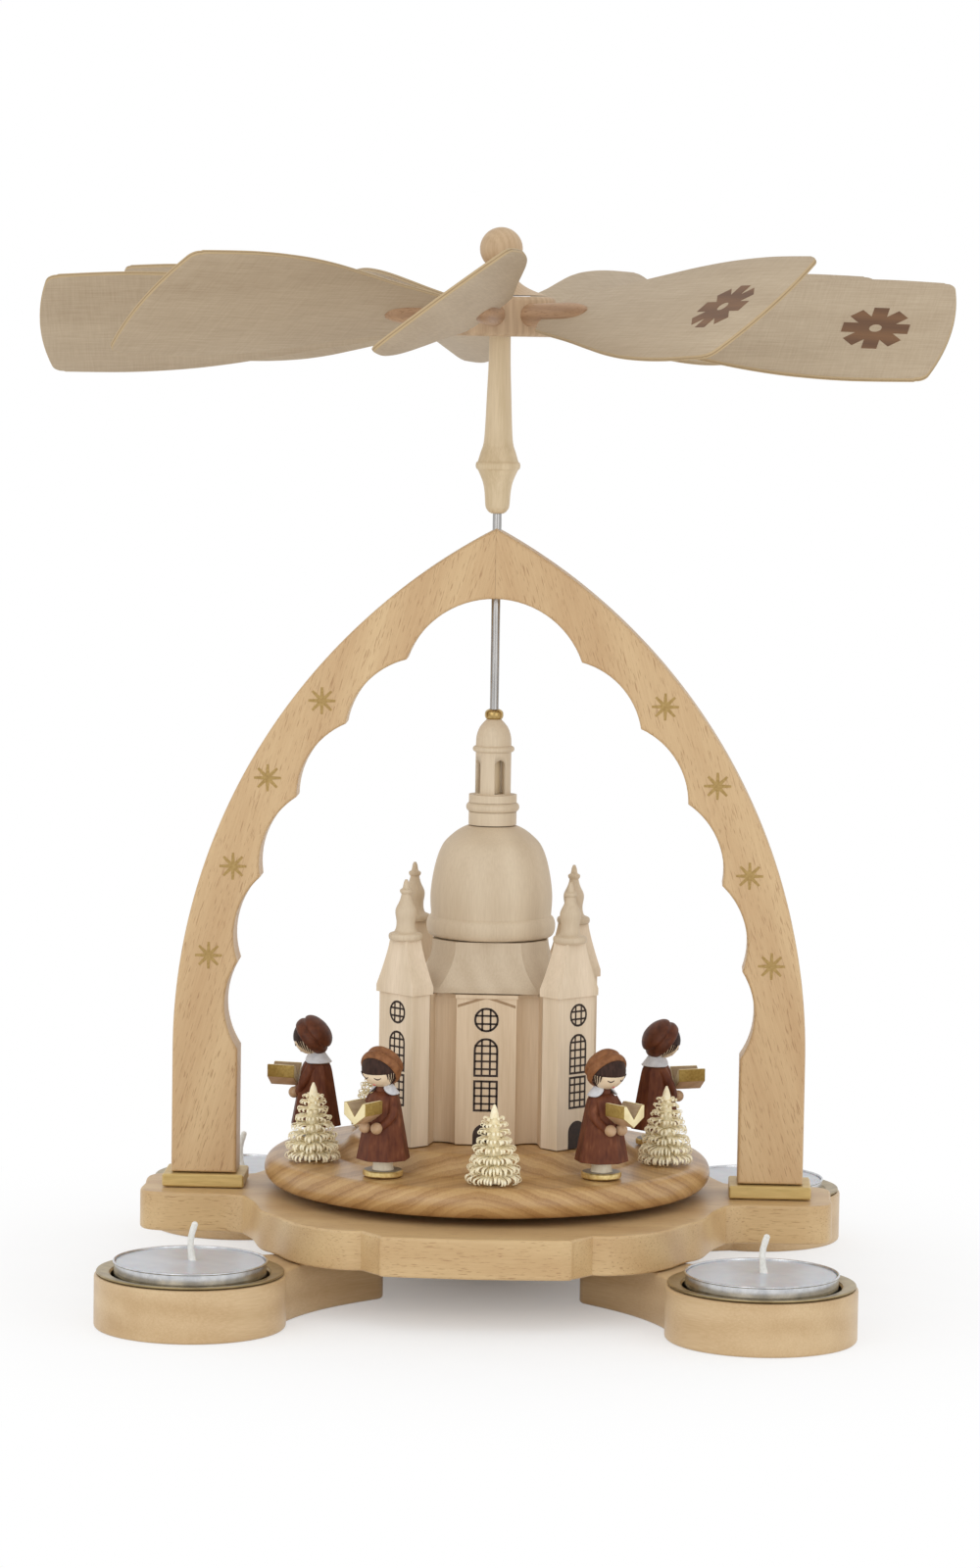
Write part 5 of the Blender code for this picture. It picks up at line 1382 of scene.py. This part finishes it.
def eye_shapes():
    """Closed eyes: a drooping arc each, thin at the ends."""
    middle = EYE_STEPS // 2
    parts = []
    for side in (-1, 1):
        path = []
        for i in range(EYE_STEPS):
            t = i / middle - 1
            elevation = EYE_ELEVATION - EYE_DROOP * (1 - t * t)
            path.append(on_head(side * EYE_AZIMUTH + EYE_HALF_WIDTH * t, elevation, HEAD_RADIUS + SEAM / 4))
        fullness = [max(1 - ((i - middle) / EYE_TAPER) ** 2, 0.1) for i in range(EYE_STEPS)]
        radii = [EYE_LINE * math.sqrt(full) for full in fullness]
        parts.append(tube(path, radii, 8))
    return merged(parts)


def kept_above(bm, place, normal):
    """Cuts away what lies below a plane."""
    everything = bm.verts[:] + bm.edges[:] + bm.faces[:]
    bmesh.ops.bisect_plane(bm, geom=everything, plane_co=place, plane_no=normal, clear_inner=True)
    return bm


def hair_shape():
    """Hair over the brow, down the back of the head to the nape, and in thin strands before the ears."""
    radius = HEAD_RADIUS + HAIR_LIFT
    brow = HEAD_CENTRE - Vector((0, 0, FRINGE_DROP))
    nape = HEAD_CENTRE - Vector((0, 0, NAPE_DROP))
    behind = HEAD_CENTRE - Vector((HAIR_BACK, 0, 0))
    top = kept_above(ball(radius, ROUND_STEPS, HEAD_CENTRE), brow, (0.12, 0, 1))
    back = kept_above(ball(radius, ROUND_STEPS, HEAD_CENTRE), behind, (-1, 0, 0.1))
    parts = [top, kept_above(back, nape, (0, 0, 1))]
    for side in (-1, 1):
        for k in range(STRANDS):
            azimuth = side * (STRAND_AZIMUTH + STRAND_PITCH * k)
            fall = STRAND_FALL + STRAND_FALL_GROWTH * k
            path = []
            for t in range(len(STRAND_RADII)):
                path.append(on_head(azimuth + side * STRAND_SWAY * t, STRAND_ELEVATION - fall * t, radius))
            parts.append(tube(path, STRAND_RADII, 8))
    return merged(parts)


def cap_shape():
    """A soft cap on the back of the head: a rolled band at its edge, and a full bag with shallow folds."""
    side = [(CAP_RADIUS * wide, CAP_RADIUS * high) for high, wide in smooth_through(CAP_SIDE_SHARES, 3)]
    lining = [(CAP_LINING_SHARE * wide, CAP_LINING_SHARE * high) for wide, high in side[:CAP_LINING_STEPS]]
    bm = spun(list(reversed(lining)) + side, ROUND_STEPS)
    for vert in bm.verts:
        angle = math.atan2(vert.co.y, vert.co.x)
        high = max(0.0, vert.co.z / CAP_RADIUS)
        wave = math.cos(CAP_FOLDS * angle + CAP_FOLD_PHASE)
        fold = CAP_FOLD_DEPTH * math.sin(math.pi * min(1.0, high)) * wave
        vert.co *= 1 + max(0.0, fold)
    return moved(bm, Matrix.Translation(HEAD_CENTRE) @ Matrix.Rotation(-CAP_TILT, 4, "Y"))


def collar_shape():
    """Two rounded collar lobes that slope down over the shoulders and leave a gap in front."""
    parts = []
    for side in (-1, 1):
        rings = []
        for share in steps_to_one(COLLAR_STEPS + 1):
            angle = side * between(COLLAR_START, math.pi, share)
            swell = min(1, share * COLLAR_SWELL + COLLAR_SWELL_START)
            lobe = math.sin(math.pi / 2 * swell) ** COLLAR_SWELL_POWER
            outer = between(COLLAR_INNER, COLLAR_OUTER, lobe)
            low = SHOULDER + COLLAR_LIFT - COLLAR_HEIGHT * lobe
            section = (
                (COLLAR_INNER, SHOULDER + COLLAR_INNER_LIFTS[0]), (outer, low),
                (outer + COLLAR_THICKNESS / 2, low + COLLAR_THICKNESS / 2), (outer, low + COLLAR_THICKNESS),
                (COLLAR_INNER, SHOULDER + COLLAR_INNER_LIFTS[1] + COLLAR_THICKNESS),
            )
            rings.append([(radius * math.cos(angle), radius * math.sin(angle), z) for radius, z in section])
        parts.append(loft(rings))
    return merged(parts)


def neck_shape():
    side = [(NECK_RADIUS, NECK_BOTTOM), (NECK_TOP_RADIUS, NECK_TOP)]
    return spun([(0, NECK_BOTTOM), *side, (0, NECK_TOP)], SMALL_STEPS)


def hand_shapes():
    parts = []
    for side in (-1, 1):
        parts.append(ball(HAND_RADIUS, SMALL_STEPS, (HAND_PLACE.x, side * HAND_PLACE.y, HAND_PLACE.z)))
    return merged(parts)


def book_shape():
    """A bevelled block with a V-shaped groove: gilt sides, pale ends and grey-brown pages."""
    groove = BOOK_HALF_WIDTH - BOOK_EDGE
    outline = [
        (0, 0), (BOOK_HALF_WIDTH, BOOK_BEVEL_HEIGHT), (BOOK_HALF_WIDTH, BOOK_HEIGHT), (groove, BOOK_HEIGHT),
        (0, BOOK_GROOVE_FLOOR), (-groove, BOOK_HEIGHT), (-BOOK_HALF_WIDTH, BOOK_HEIGHT),
        (-BOOK_HALF_WIDTH, BOOK_BEVEL_HEIGHT),
    ]
    bm = moved(prism(outline, 0, BOOK_LENGTH), FACING_OUT)
    bmesh.ops.recalc_face_normals(bm, faces=bm.faces)
    for face in bm.faces:
        normal = face.normal
        if abs(normal.x) > 0.9:
            face.material_index = 1
        elif abs(normal.y) > 0.9:
            face.material_index = 0
        elif normal.z > 0.9:
            face.material_index = 1
        else:
            face.material_index = 2 if normal.z > 0 else 3
    bmesh.ops.bevel(bm, geom=bm.edges[:], offset=BOOK_ROUNDING, segments=2, profile=0.5, affect="EDGES")
    return bm


def singer_places():
    """A place on the platform for each singer, facing out."""
    top = heights("singer_front_left")[0]
    count = len(SINGERS)
    return [turned(FIRST_FIGURE + FULL_TURN * i / count, FIGURE_CIRCLE, top) for i in range(count)]


def make_singers(looks):
    """Five singers that share their meshes. Those at the sides and the back have caps in a darker copy of the
    cap stain, as painted shade.
    """
    mouth = ball(MOUTH_RADIUS, 16, on_head(0, MOUTH_ELEVATION), 0.8)
    shapes = (
        ("coat", coat_shape(), "coat"), ("legs", leg_shape(), "leg"), ("hair", hair_shape(), "hair"),
        ("face", ball(HEAD_RADIUS, ROUND_STEPS, HEAD_CENTRE), "face"), ("cap", cap_shape(), "cap"),
        ("collar", collar_shape(), "collar"), ("neck", neck_shape(), "coat"),
        ("hands", hand_shapes(), "skin"), ("eyes", eye_shapes(), "ink"), ("mouth", mouth, "rose"),
    )
    for word, bm, look in shapes:
        node = "singer_" if word == "coat" else None
        kind = (f"singer_{word}_", bm, [looks[look]], "painted_wood", node, (0, 0, 0))
        made = repeated([kind], SINGERS, ["carousel"] * len(SINGERS), singer_places())
        for singer, obj in zip(SINGERS, made):
            # Painted shade: the caps at the sides and the back take the darker copy of the cap stain
            if word == "cap" and "front" not in singer:
                obj.data = obj.data.copy()
                obj.data.materials[0] = looks["painted_shade_cap"]


def make_discs_and_books(looks):
    """A disc under each singer, gilt with a plain top, and a book on each singer's hands."""
    disc = disc_shape()
    bmesh.ops.recalc_face_normals(disc, faces=disc.faces)
    for face in disc.faces:
        face.material_index = 1 if face.normal.z > 0.95 else 0
    disc_looks = [looks["gilt"], looks["disc"]]
    book_looks = [looks["book"], looks["leaf_edge"], looks["page"], looks["skin"]]
    book_shift = (BOOK_START, 0, HAND_PLACE.z + HAND_RADIUS)
    kinds = (
        ("singer_disc_", disc, disc_looks, "gilt_wood", None, (0, 0, 0)),
        ("book_block_", book_shape(), book_looks, "gilt_wood", "book_", book_shift),
    )
    repeated(kinds, SINGERS, ["carousel"] * len(SINGERS), singer_places())


def curl_shape(angle, start_height, out, lift, roll, width):
    """One shaving: it leaves the core, bows outwards and hooks under itself at its thin end."""
    start = TREE_CORE * CURL_START_SHARE
    straight = out - roll - start
    path = []
    for share in steps_to_one(CURL_STEPS):
        bow = CURL_BOW * roll * math.sin(math.pi * share)
        path.append((start + straight * share, start_height + lift * share + bow))
    end_x, end_z = path[-1]
    for i in range(1, CURL_STEPS + 1):
        turn = math.pi / 2 - CURL_TURN * i / CURL_STEPS
        small = roll * (1 - CURL_TIGHTENING * i / CURL_STEPS)
        path.append((end_x + small * math.cos(turn), end_z - roll + small * math.sin(turn)))
    out_dir = Vector((math.cos(angle), math.sin(angle), 0))
    across = Vector((-out_dir.y, out_dir.x, 0)) * width / 2
    rings = []
    last = len(path) - 1
    for i, (x, z) in enumerate(path):
        ahead = Vector(path[min(i + 1, last)]) - Vector(path[max(i - 1, 0)])
        along = ahead.normalized()
        normal = (out_dir * -along.y + Vector((0, 0, along.x))) * CURL_THICKNESS / 2
        middle = out_dir * x + Vector((0, 0, max(z, CURL_THICKNESS)))
        half = across * (1 - CURL_NARROWING * (i / last) ** 2)
        right, left = middle + half, middle - half
        rings.append([right - normal, right + normal, left + normal, left - normal])
    return loft(rings)


def tree_shape():
    """A shaved stick with dense tiers of curls: the lower ones droop, the upper ones rise."""
    chance_of = random.Random(TREE_SEED)
    core = lathe_side(TREE_CORE_SHARES, TREE_CORE, 0, TREE_HEIGHT)
    parts = [spun([(0, 0), *core, (0, TREE_HEIGHT)], SMALL_STEPS)]
    for tier, (height, out, count) in enumerate(TREE_TIERS):
        lean = TREE_LOW_LEAN + TREE_LEAN_RISE * tier / (len(TREE_TIERS) - 1)
        for i in range(count):
            wobble = chance_of.random()
            angle = FULL_TURN * (i + 0.5 * (tier % 2) + 0.4 * wobble) / count
            length = out * (0.88 + 0.12 * chance_of.random())
            lift = length * (lean + 0.12 * (chance_of.random() - 0.5))
            roll = CURL_ROLL_SHARE * out * (0.8 + 0.4 * wobble)
            start = height + 0.0006 * (chance_of.random() - 0.5)
            width = CURL_WIDTH * (0.75 + 0.5 * chance_of.random())
            parts.append(curl_shape(angle, start, length, lift, roll, width))
    return merged(parts)


def make_trees(looks):
    foot = heights("tree_front")[0]
    places = []
    for i in range(len(TREES)):
        place = turned(FIRST_TREE + FULL_TURN * i / len(TREES), TREE_CIRCLE, foot)
        places.append(place @ Matrix.Rotation(TREE_TURN * i, 4, "Z"))
    kind = ("tree_curls_", tree_shape(), [looks["shaving"]], "shavings", "tree_", (0, 0, 0))
    repeated([kind], TREES, ["carousel"] * len(TREES), places)


def make_sleeve(looks):
    bottom = heights("rotor_sleeve")[0]
    top = heights("rotor_hub")[0]
    side = lathe_side(SLEEVE_SHARES, SLEEVE_RADIUS, bottom, top - bottom)
    bm = spun([(BORE, bottom), *side, (BORE, top)], ROUND_STEPS, closed=True)
    piece("sleeve_turned", bm, looks["rotor"], "rotor", ["rotor_sleeve"])


def make_hub(looks):
    bottom, top = heights("rotor_hub")
    radius = reach("rotor_hub", Y)
    corner = radius - HUB_ROUNDING
    lower = arc((corner, bottom + HUB_ROUNDING), HUB_ROUNDING, -math.pi / 2, 0, CURVE_STEPS)
    upper = arc((corner, top - HUB_ROUNDING), HUB_ROUNDING, 0, math.pi / 2, CURVE_STEPS)
    bm = spun([(BORE, bottom), *lower, *upper, (BORE, top)], TURN_STEPS, closed=True)
    piece("hub_disc", bm, looks["hub"], "rotor", ["rotor_hub"])


def make_finial(looks):
    bottom = heights("rotor_finial")[0]
    side = []
    for share in steps_to_one(2 * CURVE_STEPS):
        left = (1 - share) ** FINIAL_FOOT_POWER
        radius = between(FINIAL_NECK_RADIUS, FINIAL_FOOT_RADIUS, left)
        side.append((radius, bottom + FINIAL_FOOT_HEIGHT * share))
    start = -math.acos(FINIAL_NECK_RADIUS / BALL_RADIUS)
    sphere = arc((0, bottom + BALL_CENTRE), BALL_RADIUS, start, math.pi / 2, 3 * CURVE_STEPS)
    sphere = [point for point in sphere if point[1] > bottom + FINIAL_FOOT_HEIGHT]
    sphere[-1] = (0, sphere[-1][1])
    bm = spun([(0, bottom), *side, *sphere], ROUND_STEPS)
    piece("finial_ball", bm, looks["ball"], "rotor", ["rotor_finial"])


def blade_outline():
    """A paddle with a rounded root and a tip that bulges between two rounded corners."""
    length = BLADE_TIP - BLADE_ROOT
    shares = smooth_through(BLADE_SHARES, 6)
    sides = [(BLADE_ROOT + length * along, BLADE_WIDTH * width / 2) for along, width in shares]
    tip_half = sides[-1][1]
    corner_x = BLADE_TIP - BLADE_TIP_BULGE
    half = sides[0][1]
    soft = BLADE_ROOT_ROUNDING
    keep = [(x, y) for x, y in sides if BLADE_ROOT + soft / 2 < x < corner_x - BLADE_TIP_ROUNDING]
    upper_root = arc((BLADE_ROOT + soft, half - soft), soft, math.pi, math.pi / 2, CURVE_STEPS)
    radius = BLADE_TIP_ROUNDING
    corner_middle = (corner_x - radius, tip_half - radius)
    corner = arc(corner_middle, radius, math.pi / 2, BLADE_TIP_CORNER_END, CURVE_STEPS)
    tip = bulged(corner[-1], (corner[-1][0], -corner[-1][1]), BLADE_TIP_BULGE, 2 * CURVE_STEPS)[1:-1]
    upper = [point for point in upper_root if point[0] < keep[0][0]] + keep + corner
    return upper + tip + [(x, -y) for x, y in reversed(upper)]


def stem_shape():
    """A dowel along +X that tapers like a pencil over the blade's root."""
    profile = [(0, STEM_START), (STEM_RADIUS, STEM_START)]
    for share in steps_to_one(CURVE_STEPS + 1):
        radius = between(STEM_TIP_RADIUS, STEM_RADIUS, math.sqrt(1 - share**2 * STEM_CURVE))
        profile.append((radius, STEM_END - STEM_TAPER * (1 - share)))
    profile.append((0, STEM_END))
    return moved(spun(profile, SMALL_STEPS), Matrix.Rotation(math.pi / 2, 4, "Y"))


def make_blades(looks):
    middle = sum(heights("rotor_hub")) / 2
    numbers = [str(i + 1) for i in range(BLADES)]
    bodies = [f"blade_{number}_body" for number in numbers]
    pitch = Matrix.Rotation(BLADE_PITCH_ANGLE, 4, "X")
    places = []
    for i, degrees in enumerate(STEM_LIFTS):
        lift = Matrix.Rotation(-math.radians(degrees), 4, "Y")
        places.append(turned(FIRST_BLADE + FULL_TURN * i / BLADES, 0, middle) @ lift @ pitch)
    paddle = prism(blade_outline(), -BLADE_THICKNESS / 2, BLADE_THICKNESS / 2)
    ease_flat_edges(paddle, BLADE_ROUNDING, 2)
    outline = rayed(ROSETTE_RADIUS, ROSETTE_PETAL, STAR_RAYS)
    rosette = plate_shape(outline, [tuple(Vector(point).normalized() * ROSETTE_HOLE) for point in outline])
    kinds = (
        ("paddle_", paddle, [looks["blade"]], "plywood", "blade_", (0, 0, 0)),
        ("stem_", stem_shape(), [looks["stem"]], "plywood", None, (0, 0, 0)),
        ("rosette_", rosette, [looks["rosette"]], "plywood", None, (ROSETTE_PLACE, 0, BLADE_THICKNESS / 2)),
    )
    repeated(kinds, numbers, bodies, places)


def dress(node, material):
    """A CAD node that is shown as it is, with its finish."""
    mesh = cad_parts[node].data
    mesh.materials.clear()
    mesh.materials.append(material)


def make_stage():
    """A wide pale floor that fades to plain white away from the object."""
    material, tree, shader = blank("floor_paper")
    tone = cloud(tree, (0.02, 0.02, 0.02))
    surface = ramp(tree, tone, ((0.3, colour(253, 253, 253)), (0.7, colour(250, 250, 250))))
    feed(tree, shader, {"Base Color": surface, "Roughness": 0.9, "Specular IOR Level": 0.0})
    distance = add(tree, "VectorMath", {0: own_place(tree)}, operation="LENGTH").outputs["Value"]
    spread = {"Value": distance, "From Min": FLOOR_SHADE_START, "From Max": FLOOR_SHADE_END}
    far = add(tree, "MapRange", spread, interpolation_type="SMOOTHSTEP").outputs["Result"]
    rays = add(tree, "LightPath").outputs
    straight = maths(tree, "MAXIMUM", rays["Is Camera Ray"], rays["Is Glossy Ray"])
    plain = maths(tree, "MULTIPLY", far, straight)
    white = add(tree, "Emission", {"Color": WHITE, "Strength": 1.0}).outputs["Emission"]
    both = add(tree, "MixShader", {0: plain, 1: shader.outputs["BSDF"], 2: white}).outputs["Shader"]
    feed(tree, tree.nodes["Material Output"], {"Surface": both})
    bm = bmesh.new()
    corners = ((-1, -1), (1, -1), (1, 1), (-1, 1))
    bm.faces.new([bm.verts.new((x * FLOOR_REACH, y * FLOOR_REACH, -PRINT)) for x, y in corners])
    mesh = bpy.data.meshes.new("floor")
    bm.to_mesh(mesh)
    bm.free()
    mesh.materials.append(material)
    linked("floor", mesh)


def make_light():
    """White surroundings, which light a little less than they show, and a soft lamp from each side."""
    world = bpy.data.worlds.new("studio")
    bpy.context.scene.world = world
    world.use_nodes = True
    tree = world.node_tree
    seen = add(tree, "LightPath").outputs["Is Camera Ray"]
    level = maths(tree, "MULTIPLY_ADD", seen, 1 - WORLD_LIGHT, WORLD_LIGHT)
    feed(tree, tree.nodes["Background"], {"Color": WHITE, "Strength": level})
    for name, (place, power) in LAMPS.items():
        lamp = bpy.data.lights.new(name, "AREA")
        lamp.shape = "DISK"
        lamp.size = LAMP_SIZE
        lamp.energy = power
        obj = linked(name, lamp)
        obj.location = place
        obj.rotation_mode = "QUATERNION"
        obj.rotation_quaternion = (LAMP_AIM - Vector(place)).to_track_quat("-Z", "Y")


def make_camera():
    """The camera fitted to the photograph, by turns about Z and X."""
    lens = bpy.data.cameras.new("camera")
    lens.sensor_fit = "VERTICAL"
    lens.sensor_height = SENSOR_HEIGHT
    lens.lens = LENS
    lens.clip_start = 0.01
    round_the_object = Matrix.Rotation(CAMERA_TURN, 4, "Z")
    stand = Matrix.Translation(CAMERA_PLACE)
    pitch = Matrix.Rotation(CAMERA_PITCH, 4, "X")
    roll = Matrix.Rotation(CAMERA_ROLL, 4, "Z")
    bpy.context.scene.camera = linked("camera", lens, round_the_object @ stand @ pitch @ roll)


def main():
    bpy.context.scene.view_settings.view_transform = "Standard"
    looks = make_looks()
    make_camera()
    make_stage()
    make_light()
    for node, look in (("pivot_bearing", "brass"), ("foot_plate_left", "foot"), ("foot_plate_right", "foot")):
        dress(node, looks[look])
    for make in (
        make_plate, make_candle_places, make_arch, make_stars, make_spindle, make_platform,
        make_church_walls, make_towers, make_roof, make_dome, make_lantern, make_bead, make_church_prints,
        make_singers, make_discs_and_books, make_trees, make_sleeve, make_hub, make_finial, make_blades,
    ):
        make(looks)


main()
bpy.context.view_layer.update()
